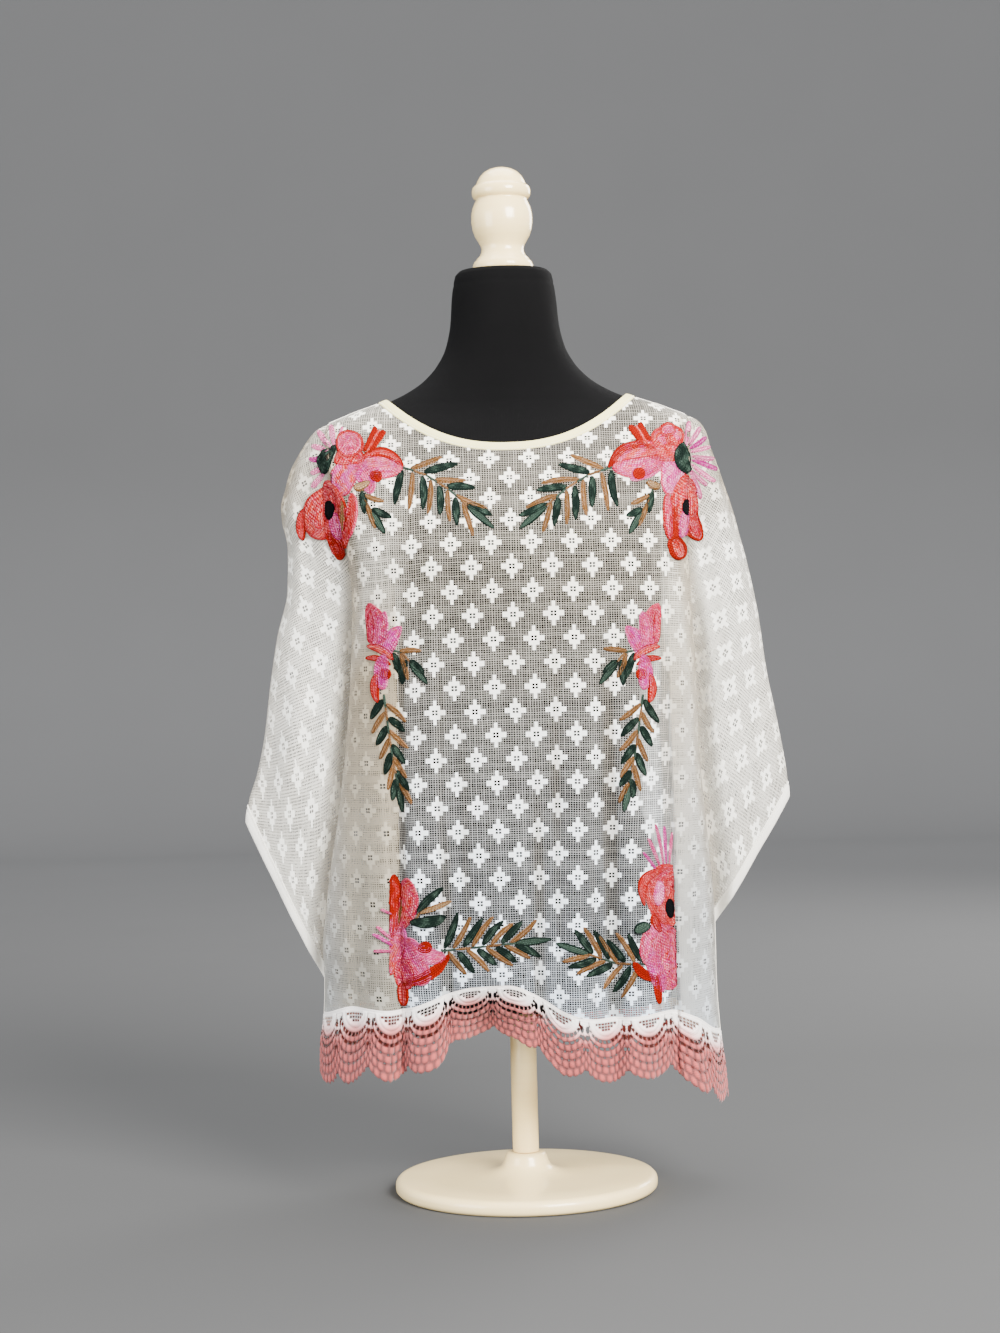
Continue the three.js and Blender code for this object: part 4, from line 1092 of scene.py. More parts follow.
def lace_piece(face, lace_top, hem, node):
    upper, lower = through(lace_top), through(hem)
    edge_low, edge_high = side_left(LACE_Z) + SEAM_HALF, side_right(LACE_Z) - SEAM_HALF
    xs = np.linspace(edge_low, edge_high, 2400)
    depth = cloth_depth(face, xs, LACE_Z, fine=True)
    run = np.concatenate([[0], np.cumsum(np.hypot(np.diff(xs), np.diff(depth)))])
    run -= np.interp(0, xs, run)
    columns = int((run[-1] - run[0]) / CELL) + 1
    rows = int(DEEP / CELL) + 3
    u = np.linspace(run[0], run[-1], columns)[None, :] + np.zeros((rows, 1))
    v = np.linspace(0, DEEP, rows)[:, None] + 0 * u
    shift = LACE_SHIFT if face == "front" else 0.0
    # points near a hole's edge move onto it, so the edges are smooth
    hole = lace_field(u + shift, v)[0]
    d = 0.05
    gu, gv = (lace_field(u + d + shift, v)[0] - hole) / d, (lace_field(u + shift, v + d)[0] - hole) / d
    slope = np.maximum(gu**2 + gv**2, 0.05)
    near = np.abs(hole) < 0.62 * CELL * np.sqrt(slope)
    near[[0, -1], :] = near[:, [0, -1]] = False
    step = np.where(near, -hole / slope, 0)
    u2 = u + np.clip(step * gu, -0.5, 0.5) * CELL
    v2 = np.clip(v + np.clip(step * gv, -0.5, 0.5) * CELL, 0, DEEP)
    hole2, fat, shade = lace_field(u2 + shift, v2)
    x_mid = np.interp(u2, run, xs)
    share = np.where(x_mid < 0, x_mid / -side_left(LACE_Z), x_mid / side_right(LACE_Z))
    start_x = across_at(share, np.full_like(share, shoulder_z(NECK_HALF)))
    hem_x = across_at(share, np.full_like(share, 150.0))
    z = mix(upper(start_x) + 0.3, lower(hem_x) - 4.0, v2 / DEEP)
    x = across_at(share, z)
    grid = on_cloth(face, x, z, fine=True)
    curl = 3.0 * (v2 / DEEP) ** 2 * np.sin(u2 * 2 * math.pi / REPEAT * 0.5 + 1.0)
    normals = grid_normals(grid)
    normals *= np.sign(normals[..., 1:2]) * (-1 if face == "front" else 1)
    keep_in = np.clip((HEM_LIMIT - np.abs(x)) / 14, 0, 1)
    grid = grid + normals * (fat + curl * keep_in)[..., None]
    faces = grid_faces(rows, columns, flip=face == "back")
    faces = faces[hole2.ravel()[faces].mean(axis=1) < 0.02]
    used = np.unique(faces)
    renumber = np.full(rows * columns, -1)
    renumber[used] = np.arange(len(used))
    # painted shade round the holes above the petalled edge, weaker in the netted rows at the top
    rim = np.clip(1 + np.where(v2 < 62, hole2, NO_HOLE) / 1.1, 0, 1) * mix(0.55, 1.0, ease((v2 - 16) / 6))
    tone = np.stack([np.clip(v2 / DEEP, 0, 1), shade, rim], -1).reshape(-1, 3)[used]
    uv = np.stack([u2, v2], -1).reshape(-1, 2)[used] * MM
    obj = put("lace_border_" + face, grid.reshape(-1, 3)[used], renumber[faces], uv, tone)
    obj.data.materials.append(lace_material("lace_" + face))
    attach(obj, "root")
    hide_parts(node)
    return obj


def lace_material(name):
    """Dip-dyed cotton lace, white at the top and coral at the petals, with painted shade between the stitches
    and round the holes.
    """
    material, shader = new_material(name)
    g = Graph(material)
    uv = g.uv()
    down, raised, rim = g.split(g.tone())
    drift = g.maths("MULTIPLY", g.maths("SUBTRACT", g.noise(uv, 14.0, 3.0), 0.5), 0.3)
    level = g.maths("ADD", down, drift)
    ramp = g.node("ValToRGB")
    g.feed(ramp.inputs[0], level)
    dyed = ramp.outputs[0]
    first, last = ramp.color_ramp.elements
    first.position, first.color = 0.11, (0.93, 0.90, 0.86, 1)
    last.position, last.color = 1.0, (0.42, 0.060, 0.053, 1)
    for place, dye in ((0.22, (0.88, 0.62, 0.59, 1)), (0.3, (0.66, 0.25, 0.235, 1)),
                       (0.39, (0.44, 0.064, 0.058, 1)), (0.8, (0.41, 0.052, 0.047, 1))):
        ramp.color_ramp.elements.new(place).color = dye
    yarn = g.noise(uv, 1500.0, 3.0)
    # painted shade: the coral part darkens in the creases between puffs, where the tone says the lace is low
    dark = g.blend(0.86, dyed, (0.07, 0.012, 0.013, 1))
    dark = g.blend(g.remap(level, 0.2, 0.45), dyed, dark)
    lit = g.blend(g.remap(raised, 0.5, 0.95), dark, dyed)
    fluffy = g.blend(g.remap(yarn, 0.3, 0.7, 0.0, 0.14), lit, (0.75, 0.4, 0.36, 1))
    # painted shade: near-black at the rims of the holes
    hole_shaded = g.blend(g.remap(rim, 0.15, 0.8, 0.0, 0.92), fluffy, (0.06, 0.014, 0.013, 1))
    g.feed(shader.inputs["Base Color"], hole_shaded)
    twist = g.node("TexWave", wave_type="BANDS", bands_direction="DIAGONAL")
    g.feed(twist.inputs["Vector"], uv)
    twist.inputs["Scale"].default_value = 260.0
    twist.inputs["Distortion"].default_value = 3.0
    twist.inputs["Detail"].default_value = 2.0
    bumps = g.maths("ADD", g.maths("MULTIPLY", twist.outputs["Fac"], 0.6), yarn)
    g.feed(shader.inputs["Normal"], g.bump(bumps, 0.55, 0.0006))
    g.feed(shader.inputs["Roughness"], g.remap(yarn, 0.2, 0.8, 0.75, 0.95))
    shader.inputs["Sheen Weight"].default_value = 0.25
    shader.inputs["Specular IOR Level"].default_value = 0.2
    return material


lace_front = lace_piece("front", LACE_TOP_FRONT, HEM_FRONT, "lace_front")
lace_back = lace_piece("back", LACE_TOP_BACK, HEM_BACK, "lace_back")


# ---------------------------------------------------------------- form, finial and stand
def jersey_material():
    material, shader = new_material("form_jersey")
    g = Graph(material)
    uv = g.uv()
    u, v = g.split(uv)[:2]
    wale = g.maths("SINE", g.maths("MULTIPLY", u, 2 * math.pi / 0.0011))
    course = g.maths("ADD", g.maths("MULTIPLY", v, 2 * math.pi / 0.0009), g.maths("MULTIPLY", wale, 1.2))
    loops = g.maths("SINE", course)
    lint = g.noise(uv, 260.0, 4.0)
    dark = g.blend(g.noise(uv, 12.0, 3.0), (0.0019, 0.0019, 0.002, 1), (0.0032, 0.003, 0.0032, 1))
    linty = g.blend(g.remap(lint, 0.62, 0.85, 0, 0.5), dark, (0.011, 0.0105, 0.0105, 1))
    g.feed(shader.inputs["Base Color"], linty)
    g.feed(shader.inputs["Normal"], g.bump(g.maths("ADD", loops, wale), 0.35, 0.0003))
    g.feed(shader.inputs["Roughness"], g.remap(lint, 0.2, 0.8, 0.82, 0.96))
    shader.inputs["Specular IOR Level"].default_value = 0.06
    return material


TORSO_COLUMNS = 144
CAP_SHARES = (0.985, 0.95, 0.6, 0.3, 0.02)


def torso():
    levels = (FORM_RINGS[0][0], 204, 780, 860, 972, FORM_RINGS[-1][0])
    spans = zip(levels, levels[1:], (8, 72, 50, 40, 12))
    z = np.unique(np.concatenate([np.linspace(low, high, rows) for low, high, rows in spans]))
    turn = np.linspace(0, 2 * math.pi, TORSO_COLUMNS + 1)[:-1]
    reach = lambda part: (np.sign(part) * np.abs(part) ** (2 / FORM_POWER))[None]
    deep = np.where(np.sin(turn)[None] < 0, form_depth["front"](z)[:, None], form_depth["back"](z)[:, None])
    x, y = form_wide(z)[:, None] * reach(np.cos(turn)), deep * reach(np.sin(turn))
    # the jersey cover's top hem and a few slack pulls under it
    hem = 0.5 * np.exp(-((z - 966) / 1.2) ** 2)[:, None]
    pulls = 0.5 * np.sin(turn * 9 + 1.0)[None] * np.exp(-((z - 955) / 9) ** 2)[:, None]
    scale = 1 - (hem + 0.35 + 0.35 * pulls) / np.hypot(x, y)
    grid = np.stack([x * scale, y * scale, z[:, None] + 0 * x], -1)
    u = lengths_along(np.stack([x[40], y[40]], -1))[None, :] + 0 * x
    faces = [grid_faces(len(z), TORSO_COLUMNS, wrap=True, flip=True)]
    points, uv = [grid.reshape(-1, 3)], [np.stack([u, z[:, None] + 0 * u], -1).reshape(-1, 2)]
    count = grid.shape[0] * TORSO_COLUMNS
    for row, up in ((0, -1), (len(z) - 1, 1)):
        cap = [grid[row]]
        for share in CAP_SHARES:
            ring = grid[row] * [share, share, 1]
            ring[:, 2] += (0.0 if share < 0.96 else 0.15) * up - 0.1 * up
            cap.append(ring)
        points.append(np.concatenate(cap))
        uv.append(points[-1][:, :2])
        faces.append(grid_faces(len(cap), TORSO_COLUMNS, wrap=True, flip=up > 0, start=count)[:, ::-1])
        count += len(points[-1])
    obj = put("form_torso", np.concatenate(points), np.concatenate(faces), np.concatenate(uv) * MM)
    obj.data.materials.append(jersey_material())
    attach(obj, "root")
    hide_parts("form")


torso()

# Turned pieces: radius and height along the outline
FINIAL = [
    (0, 980.9), (30.6, 980.9), (32, 983), (32.4, 987), (31, 991), (28.6, 993), (28.2, 994.4), (25.4, 997),
    (23.2, 1001), (22.5, 1005), (23.4, 1009), (26, 1013.5), (29.2, 1019), (31.6, 1026), (32.8, 1034),
    (32.6, 1042), (31.2, 1049), (28.6, 1055), (27.2, 1057.4), (27.4, 1058.6), (29.8, 1060), (31.2, 1063),
    (31.5, 1067), (30.6, 1070.6), (28.6, 1072.6), (27, 1073.4), (26.8, 1074.2), (25.2, 1078), (22.6, 1082.6),
    (18.4, 1087), (13, 1090.2), (7, 1092), (0, 1092.45),
]
POLE = [(0, 40.4), (13.6, 40.4), (13.9, 41), (13.9, 197), (13.6, 197.6), (0, 197.6)]
BASE = [
    (0, 0.1), (133, 0.1), (137.5, 0.8), (139.6, 3.4), (139.9, 6), (139.9, 9), (139.2, 12), (136.6, 14.8),
    (132, 16), (100, 16.8), (60, 17.8), (46, 18.7), (38, 20.2), (31, 22.6), (26.4, 25.6), (24, 30), (22.6, 35),
    (21.4, 38), (19.6, 39.7), (17, 39.95), (0, 39.95),
]


SEGMENTS = 96
TIP_RADIUS = 0.01


def paint_material(name, low, high, rough):
    """Brushed gloss paint over turned wood: faint rings, slight orange peel, dull spots."""
    material, shader = new_material(name)
    g = Graph(material)
    place = g.node("TexCoord").outputs["Object"]
    broad = g.noise(place, 18.0, 3.0)
    fine = g.noise(place, 420.0, 2.0)
    stretched = g.node("Mapping")
    g.feed(stretched.inputs["Vector"], place)
    stretched.inputs["Scale"].default_value = (4, 4, 90.0)
    brush = g.noise(stretched.outputs[0], 3.0, 4.0)
    patchy = g.maths("MULTIPLY", g.maths("ADD", broad, brush), 0.5)
    g.feed(shader.inputs["Base Color"], g.blend(patchy, low, high))
    g.feed(shader.inputs["Roughness"], g.remap(broad, 0.3, 0.7, rough, rough + 0.12))
    g.feed(shader.inputs["Normal"], g.bump(g.maths("ADD", brush, g.maths("MULTIPLY", fine, 0.3)), 0.12, 0.0006))
    shader.inputs["Coat Weight"].default_value = 0.5
    shader.inputs["Coat Roughness"].default_value = 0.1
    return material


def turned(node, profile, low, high, rough):
    line = np.array(profile, float)
    turn = np.linspace(0, 2 * math.pi, SEGMENTS + 1)[:-1]
    grid = np.stack([line[:, :1] * np.cos(turn), line[:, :1] * np.sin(turn), line[:, 1:] + 0 * turn], -1)
    for end in (0, -1):
        grid[end, :, :2] = TIP_RADIUS * np.stack([np.cos(turn), np.sin(turn)], -1)
    obj = put(node + "_turned", grid, grid_faces(len(line), SEGMENTS, wrap=True, flip=True))
    obj.data.materials.append(paint_material(node + "_paint", low, high, rough))
    sharp = obj.modifiers.new("corners", "BEVEL")
    sharp.limit_method, sharp.angle_limit, sharp.width, sharp.segments = "ANGLE", math.radians(50), 0.0004, 2
    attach(obj, "root")
    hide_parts(node)


turned("finial", FINIAL, colour(240, 208, 138), colour(250, 226, 168), 0.16)
turned("pole", POLE, colour(238, 208, 142), colour(248, 224, 168), 0.3)
turned("base", BASE, colour(238, 208, 142), colour(248, 224, 168), 0.3)

# ---------------------------------------------------------------- embroidery
# Places are in pixels of the photograph and are cast from its viewpoint onto the cloth.
# The yarns by letter: strengths of red, green and blue light that they give back
YARNS = {
    "C": (0.34, 0.007, 0.008),  # coral
    "R": (0.40, 0.008, 0.05),  # rose
    "S": (0.46, 0.028, 0.020),  # salmon
    "P": (0.48, 0.045, 0.17),  # pink
    "M": (0.40, 0.018, 0.19),  # mauve
    "B": (0.56, 0.12, 0.26),  # blush
    "O": (0.24, 0.006, 0.001),  # orange
    "G": (0.0045, 0.011, 0.008),  # green
    "L": (0.028, 0.05, 0.036),  # moss
    "K": (0.0025, 0.0025, 0.003),  # black
    "T": (0.15, 0.068, 0.022),  # tan
    "D": (0.25, 0.14, 0.058),  # sand
}
# Width of a row of stitches and the length of its mesh cells, in mm; half width, in pixels, up to which
# a stroke belongs to a spray and isn't cut at a fold; how far each patch and a flower's eye lie over the last
ROW, ROW_CELL = 2.05, 2.1
SPRAY_HALF = 3.1
PATCH_RISE, EYE_LIFT = 0.07, 0.8
LONGEST_SIDE = 9
EYE = Vector(viewer.location)


def cloth_tree(objects):
    points, faces = [], []
    for obj in objects:
        start = len(points)
        points += [v.co.copy() for v in obj.data.vertices]
        faces += [[start + k for k in p.vertices] for p in obj.data.polygons]
    return BVHTree.FromPolygons(points, faces)


tree = cloth_tree([front] + list(sleeves.values()))


def cast(px, py):
    """Point and outward direction of the cloth seen at a pixel, in millimetres."""
    x, z = photo_mm(px, py)
    aim = Vector((x * MM, 0, z * MM)) - EYE
    hit, normal, _, _ = tree.ray_cast(EYE, aim.normalized())
    if hit is None:
        return None
    if normal.dot(aim) > 0:
        normal = -normal
    return hit / MM, normal


class Needlework:
    """Patches of stitched rows that are joined into one mesh."""

    def __init__(self, seed):
        self.points, self.faces, self.uvs, self.tones = [], [], [], []
        self.count = 0
        self.chance = np.random.default_rng(seed)

    def shades(self, place, which, tones, edge):
        """Colours of the rows: plain at the edge, swirled and flecked inside."""
        palette = np.array([YARNS[tone] for tone in tones])
        last = len(palette) - 1
        drift = self.chance.uniform(0, 6, 4)
        shades = np.zeros((*place.shape[:2], 3))
        for i, row in enumerate(which):
            if row < edge or not last:
                shades[i] = palette[0]
            else:
                x, y = place[i, :, 0], place[i, :, 1]
                swirl = np.sin(x * 0.45 + drift[0] + 1.7 * np.sin(y * 0.3 + drift[1]))
                fleck = np.sin(x * 1.9 + row * 2.3 + drift[2]) * np.sin(y * 1.7 + row * 1.1 + drift[3])
                blot = np.clip(0.5 + 0.38 * swirl + 0.38 * fleck, 0, 1)
                pick = blot * last * 0.999 if last > 1 else blot * 0
                low = pick.astype(int) + 1
                high = np.minimum(low + 1, last)
                share = (pick - pick.astype(int))[:, None]
                shades[i] = palette[low] * (1 - share) + palette[high] * share
            shades[i] *= 1 + 0.14 * math.sin(row * 5.1 + drift[2])
        return shades

    def patch(self, start, end, half, tones, bend=0.0, tip=0.5, base=0.5, edge=1, lift=0.0,
              rows=None, cut=None):
        """Nested rows inside a leaf or petal from start to end. tones: the edge's yarn, then those inside."""
        start, end = np.array(start, float), np.array(end, float)
        axis = end - start
        long = np.hypot(*axis)
        axis, over = axis / long, np.array([-axis[1], axis[0]]) / long
        rows = rows or max(1, round(half * PIXEL / ROW))
        around = max(14, int((2 * long + 2 * half) * PIXEL / ROW_CELL))
        turn = np.linspace(0, 2 * math.pi, around + 1)[:-1]
        t = (1 - np.cos(turn)) / 2
        shape = t**base * np.maximum(1 - t, 0) ** tip
        best = (base / (base + tip)) ** base * (tip / (base + tip)) ** tip
        side = np.sign(np.sin(turn)) * half * shape / best
        margin = min(0.46, 0.8 * half / long)
        core = np.clip(t, margin, 1 - margin)
        steps = np.arange(0, 3 * rows + 1) / (3 * rows)
        wobble = 1 + 0.035 * np.sin(turn * 3 + self.chance.uniform(0, 6)) + 0.02 * np.sin(turn * 7)
        along = (t[None] * (1 - steps[:, None]) + core[None] * steps[:, None]) * long
        across = side[None] * (1 - steps[:, None]) * wobble[None]
        curve = bend * 4 * (along / long) * (1 - along / long) * long
        place = start + along[..., None] * axis + (across + curve)[..., None] * over
        level = steps * rows
        part = level - np.floor(level + 1e-6)
        fat = np.where(part < 0.05, 0.25, 1.0)
        fat[0], fat[-1] = -0.05, 0.8
        lift = lift + 0.35
        stride = np.hypot(*np.diff(place, axis=1).T).T
        walk = np.concatenate([np.zeros((len(steps), 1)), np.cumsum(stride, axis=1)], 1)
        grid, bad = np.zeros((*along.shape, 3)), np.zeros(along.shape, bool)
        for i, j in np.ndindex(along.shape):
            px, py = place[i, j]
            found = cast(px, py)
            if found is None or (cut and cut(px, py)):
                bad[i, j] = True
                continue
            grid[i, j] = found[0] + found[1] * (fat[i] * 0.95 + lift * (1 if i else 0.3))
        faces = grid_faces(along.shape[0], around, wrap=True, flip=True)
        keep = ~bad.ravel()[faces].any(axis=1)
        keep &= np.ptp(grid.reshape(-1, 3)[faces], axis=1).max(axis=1) < LONGEST_SIDE
        which = np.minimum(np.floor(level + 1e-6), rows - 1).astype(int)
        self.tones.append(self.shades(place, which, tones, edge).reshape(-1, 3))
        u = walk * PIXEL + self.chance.uniform(0, 3) + which[:, None] * 1.3
        self.uvs.append(np.stack([u, level[:, None] * ROW + 0 * walk], -1).reshape(-1, 2))
        self.points.append(grid.reshape(-1, 3))
        self.faces.append(faces[keep] + self.count)
        self.count += along.size

    def done(self, name, material):
        points, faces = np.concatenate(self.points), np.concatenate(self.faces)
        used = np.unique(faces)
        renumber = np.full(len(points), -1)
        renumber[used] = np.arange(len(used))
        uvs, tones = np.concatenate(self.uvs)[used] * MM, np.concatenate(self.tones)[used]
        obj = put(name, points[used], renumber[faces], uvs, tones)
        obj.data.materials.append(material)
        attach(obj, "root")
        return obj


def yarn_material():
    """Soft yarn in chain stitch: slanted links in pairs along each row, fuzzy and dull, with painted shade
    between the links.
    """
    material, shader = new_material("embroidery_yarn")
    g = Graph(material)
    tone, uv = g.tone(), g.uv()
    u, v = g.split(uv)[:2]
    across = g.maths("ABSOLUTE", wrapped(g, v, ROW * MM, 0.5))
    slant = g.maths("ADD", u, g.maths("MULTIPLY", across, 1.5))
    link = g.maths("ABSOLUTE", g.maths("SINE", g.maths("MULTIPLY", slant, math.pi / 0.0030)))
    groove = g.remap(g.maths("SUBTRACT", ROW * MM / 2, across), 0.0, 0.0004)
    fuzz = g.noise(uv, 1900.0, 3.0)
    patchy = g.noise(uv, 330.0, 3.0)
    raised = g.maths("MULTIPLY", g.maths("POWER", link, 0.6), groove)
    deep, pale = g.tuned(tone, 1.08, 0.36), g.tuned(tone, 0.74, 1.7)
    hues = g.node("SeparateColor")
    g.feed(hues.inputs[0], tone)
    # dark yarns, known by their blue, have no pale flecks
    flecks = g.maths("MULTIPLY", g.remap(patchy, 0.44, 0.62), g.remap(hues.outputs[2], 0.0015, 0.012, 0.0, 0.8))
    body = g.blend(flecks, tone, pale)
    # painted shade: the yarn darkens between the links and along the grooves between rows
    g.feed(shader.inputs["Base Color"], g.blend(g.remap(raised, 0.25, 0.85), deep, body))
    height = g.maths("ADD", raised, g.maths("MULTIPLY", fuzz, 0.6))
    g.feed(shader.inputs["Normal"], g.bump(height, 0.7, 0.0008))
    g.feed(shader.inputs["Roughness"], g.remap(fuzz, 0.2, 0.8, 0.8, 0.98))
    shader.inputs["Specular IOR Level"].default_value = 0.05
    return material


MIRROR, SIDE_SHIFT = 1014, 13


def sides(point, flip, shift=0):
    """A place in the left half, or its mirror image in the right half."""
    return (MIRROR + shift - point[0], point[1]) if flip else point


# A flower with round blossom, open petals, calyx and a spray of fine lines. Each row: x and y of the start,
# of the end, half width, yarns, and then bend, tip, base and edge rows where they aren't the usual ones.
USUAL = (0.0, 0.5, 0.5, 1)
FIXED = 6
SHOULDER_LEFT = [
    # spray
    (331, 449, 318, 431, 3, "B", 0, 0.3), (329, 453, 312, 446, 3, "B", 0.05, 0.3),
    (334, 446, 331, 425, 3, "B", 0, 0.3), (327, 459, 309, 459, 3, "M", -0.05, 0.3),
    (326, 466, 311, 474, 3, "B", 0, 0.3), (325, 472, 312, 488, 3, "B", 0, 0.3),
    (337, 443, 343, 427, 1.4, "P", 0, 0.3),
    # petals round the blossom
    (352, 462, 342, 496, 13, "RPMPS", 0.1, 0.55, 0.45), (356, 464, 372, 494, 10, "PPRM", -0.08, 0.6, 0.45),
    (358, 463, 403, 468, 11, "RPSP", 0.06), (358, 462, 404, 466, 5.8, "OC", -0.24, 0.42, 0.6, 2),
    (334, 461, 366, 459, 9.5, "CRC", -0.1, 0.5, 0.5, 2), (364, 452, 376, 427, 3.3, "O", 0.05, 0.35, 0.6, 2),
    (370, 455, 385, 431, 3.3, "O", -0.05, 0.35, 0.6, 2), (367, 454, 380, 430, 2, "S", 0, 0.35, 0.6),
    (336, 447, 364, 442, 14.5, "CRPSP", 0, 0.5, 0.5, 2), (370, 477, 383, 476, 6, "O", 0, 0.5, 0.5, 2),
    (354, 489, 371, 482, 4.6, "TD", 0.05, 0.6, 0.45), (336, 447, 323, 474, 7.5, "GLG", 0.14, 0.5, 0.7),
    # lower flower
    (330, 486, 318, 540, 19, "CSROS", 0.03, 0.5, 0.6, 2), (305, 508, 303, 541, 5.4, "OC", 0.08),
    (328, 480, 338, 556, 13, "CSCRS", -0.05, 0.5, 0.6), (353, 493, 346, 541, 5.6, "RC", -0.06),
    (343, 499, 341, 540, 4.6, "OT", -0.05, 0.6, 0.6), (327, 533, 342, 560, 8, "OCO", -0.15, 0.5, 0.5, 2),
    (334, 512, 341, 540, 6.2, "MP", 0, 0.55), (331, 500, 331, 520, 5.2, "K"),
]
SHOULDER_RIGHT = [
    # spray
    (686, 447, 689, 421, 2.8, "B", 0, 0.3), (688, 446, 700, 427, 2.8, "B", 0.03, 0.3),
    (689, 449, 706, 437, 2.8, "M", 0.04, 0.3), (690, 452, 710, 447, 2.6, "B", 0, 0.3),
    (691, 456, 714, 459, 2.8, "B", 0.03, 0.3), (691, 460, 717, 470, 2.8, "M", -0.03, 0.3),
    (691, 464, 715, 482, 2.8, "B", 0.02, 0.3), (690, 470, 707, 486, 2.4, "B", 0, 0.3),
    (690, 472, 701, 499, 2.8, "B", -0.03, 0.3),
    # petals round the blossom
    (672, 456, 668, 495, 12, "RPMPB", -0.05, 0.55, 0.45), (664, 462, 630, 480, 9, "PPRM", 0.05, 0.6, 0.45),
    (664, 460, 612, 468, 10, "RPSP", -0.08), (668, 452, 611, 461, 9.5, "CPRS", 0.12),
    (656, 450, 608, 468, 5.2, "O", 0.24, 0.4, 0.6, 2), (684, 456, 645, 452, 11, "CRSC", 0.05),
    (643, 447, 629, 426, 3.3, "O", 0.05, 0.3), (651, 443, 639, 423, 3.3, "O", -0.05, 0.3),
    (647, 445, 635, 426, 2, "S", 0, 0.3), (650, 440, 671, 438, 11, "CRPS", 0, 0.5, 0.5, 2),
    (664, 434, 684, 440, 10.5, "CPRS", 0, 0.5, 0.5, 2), (658, 432, 676, 430, 8, "CRP", 0, 0.5, 0.5, 2),
    (645, 474.5, 632, 474.5, 6.2, "O", 0, 0.5, 0.5, 2), (660, 488, 646, 482, 4, "TD", -0.05, 0.6, 0.45),
    (683, 444, 686, 474, 7.8, "GLG", 0.12),
    # lower flower
    (684, 474, 684, 536, 14.5, "CSRCS", 0, 0.5, 0.7, 2), (692, 512, 700, 541, 9, "OCRC", 0.1, 0.5, 0.5, 2),
    (666, 494, 669, 540, 5.2, "CR"), (674, 506, 676, 548, 4.8, "O", 0.08, 0.5, 0.6, 2),
    (672, 536, 680, 560, 8.5, "OCS", 0, 0.5, 0.5, 2), (685, 508, 680, 538, 5.4, "MP", 0, 0.55),
    (684, 499, 684, 516, 4.2, "K"),
]
# Half flower with buds at the side
SIDE_BLOOM = [
    (377, 650, 369, 603, 10.5, "RPCR", 0.08, 0.6), (381, 650, 385, 611, 8.5, "PMRP", -0.08, 0.65),
    (386, 656, 401, 626, 8, "PRM", -0.1, 0.6), (371, 644, 371, 612, 4.5, "CR", 0, 0.6),
    (394, 660, 367, 646, 4.6, "CS", 0.12), (391, 665, 366, 658, 3.4, "OC", 0.1, 0.4),
    (384, 654, 383, 690, 7.5, "PRM", 0.05), (378, 672, 378, 703, 4.6, "OC", 0.1),
    (386, 668, 386, 680, 5.4, "OC", 0, 0.5, 0.5, 2),
]
# Flower at the lower corner
CORNER_LEFT = [
    (394, 918, 395, 956, 12, "MPBP"), (397, 932, 407, 878, 10.5, "RCSR", 0.1),
    (391, 938, 394, 874, 8, "OCO", 0.03, 0.5, 0.5, 2), (398, 924, 402, 899, 2.6, "TD"),
    (402, 935, 386, 975, 14, "CRPCS", 0.1), (405, 938, 426, 985, 15, "PRMPR", 0.06),
    (408, 944, 446, 958, 9, "PRP", 0.1, 0.55), (400, 958, 408, 990, 11, "CSR"),
    (400, 984, 450, 954, 5.8, "O", 0.12), (402, 980, 404, 1006, 6, "OC", 0, 0.4),
    (418, 948, 432, 947, 6, "O", 0, 0.4, 0.4, 2), (413, 923, 421, 909, 1.2, "T", 0.05, 0.3, 0.3),
    (411, 922, 446, 916, 6.2, "GLG", 0.08, 0.6), (418, 912, 443, 887, 4.2, "GLG", -0.04, 0.6, 0.45),
    (420, 913, 452, 901, 2.9, "TD", 0, 0.42, 0.35), (392, 946, 373, 934, 1.9, "M", 0.04, 0.3),
    (392, 951, 374, 951, 1.7, "P", 0, 0.3), (392, 940, 377, 926, 1.6, "P", 0, 0.3),
    (391, 914, 381, 909, 1.5, "P", 0, 0.3),
]
CORNER_RIGHT = [
    (663, 866, 655, 824, 1.7, "P", 0.03, 0.3), (666, 864, 664, 826, 1.7, "M", 0, 0.3),
    (669, 864, 672, 832, 1.7, "P", 0, 0.3), (660, 868, 648, 838, 1.7, "P", 0.02, 0.3),
    (657, 872, 643, 852, 1.6, "M", 0.02, 0.3), (662, 926, 650, 872, 13, "CRSC", 0.06, 0.5, 0.5, 2),
    (648, 884, 679, 870, 9, "CSR", -0.12, 0.5, 0.5, 2), (666, 926, 672, 872, 13, "CSRC", -0.04),
    (644, 906, 668, 868, 5, "OC", -0.3), (670, 926, 679, 886, 9, "CS", -0.05),
    (660, 922, 650, 968, 13, "RPCP", 0.06), (666, 924, 668, 990, 15, "RCPSMC", -0.03, 0.45),
    (650, 950, 662, 992, 8.5, "PRM"), (633, 962, 657, 980, 5, "O", 0.1), (656, 974, 659, 1004, 3.8, "O"),
    (652, 914, 660, 932, 4.4, "OC", 0.05), (657, 906, 659, 880, 5.6, "PMB"),
    (668.5, 898, 669.5, 918, 5.2, "K"), (649, 924, 634, 932, 5.6, "GL", 0.05),
]
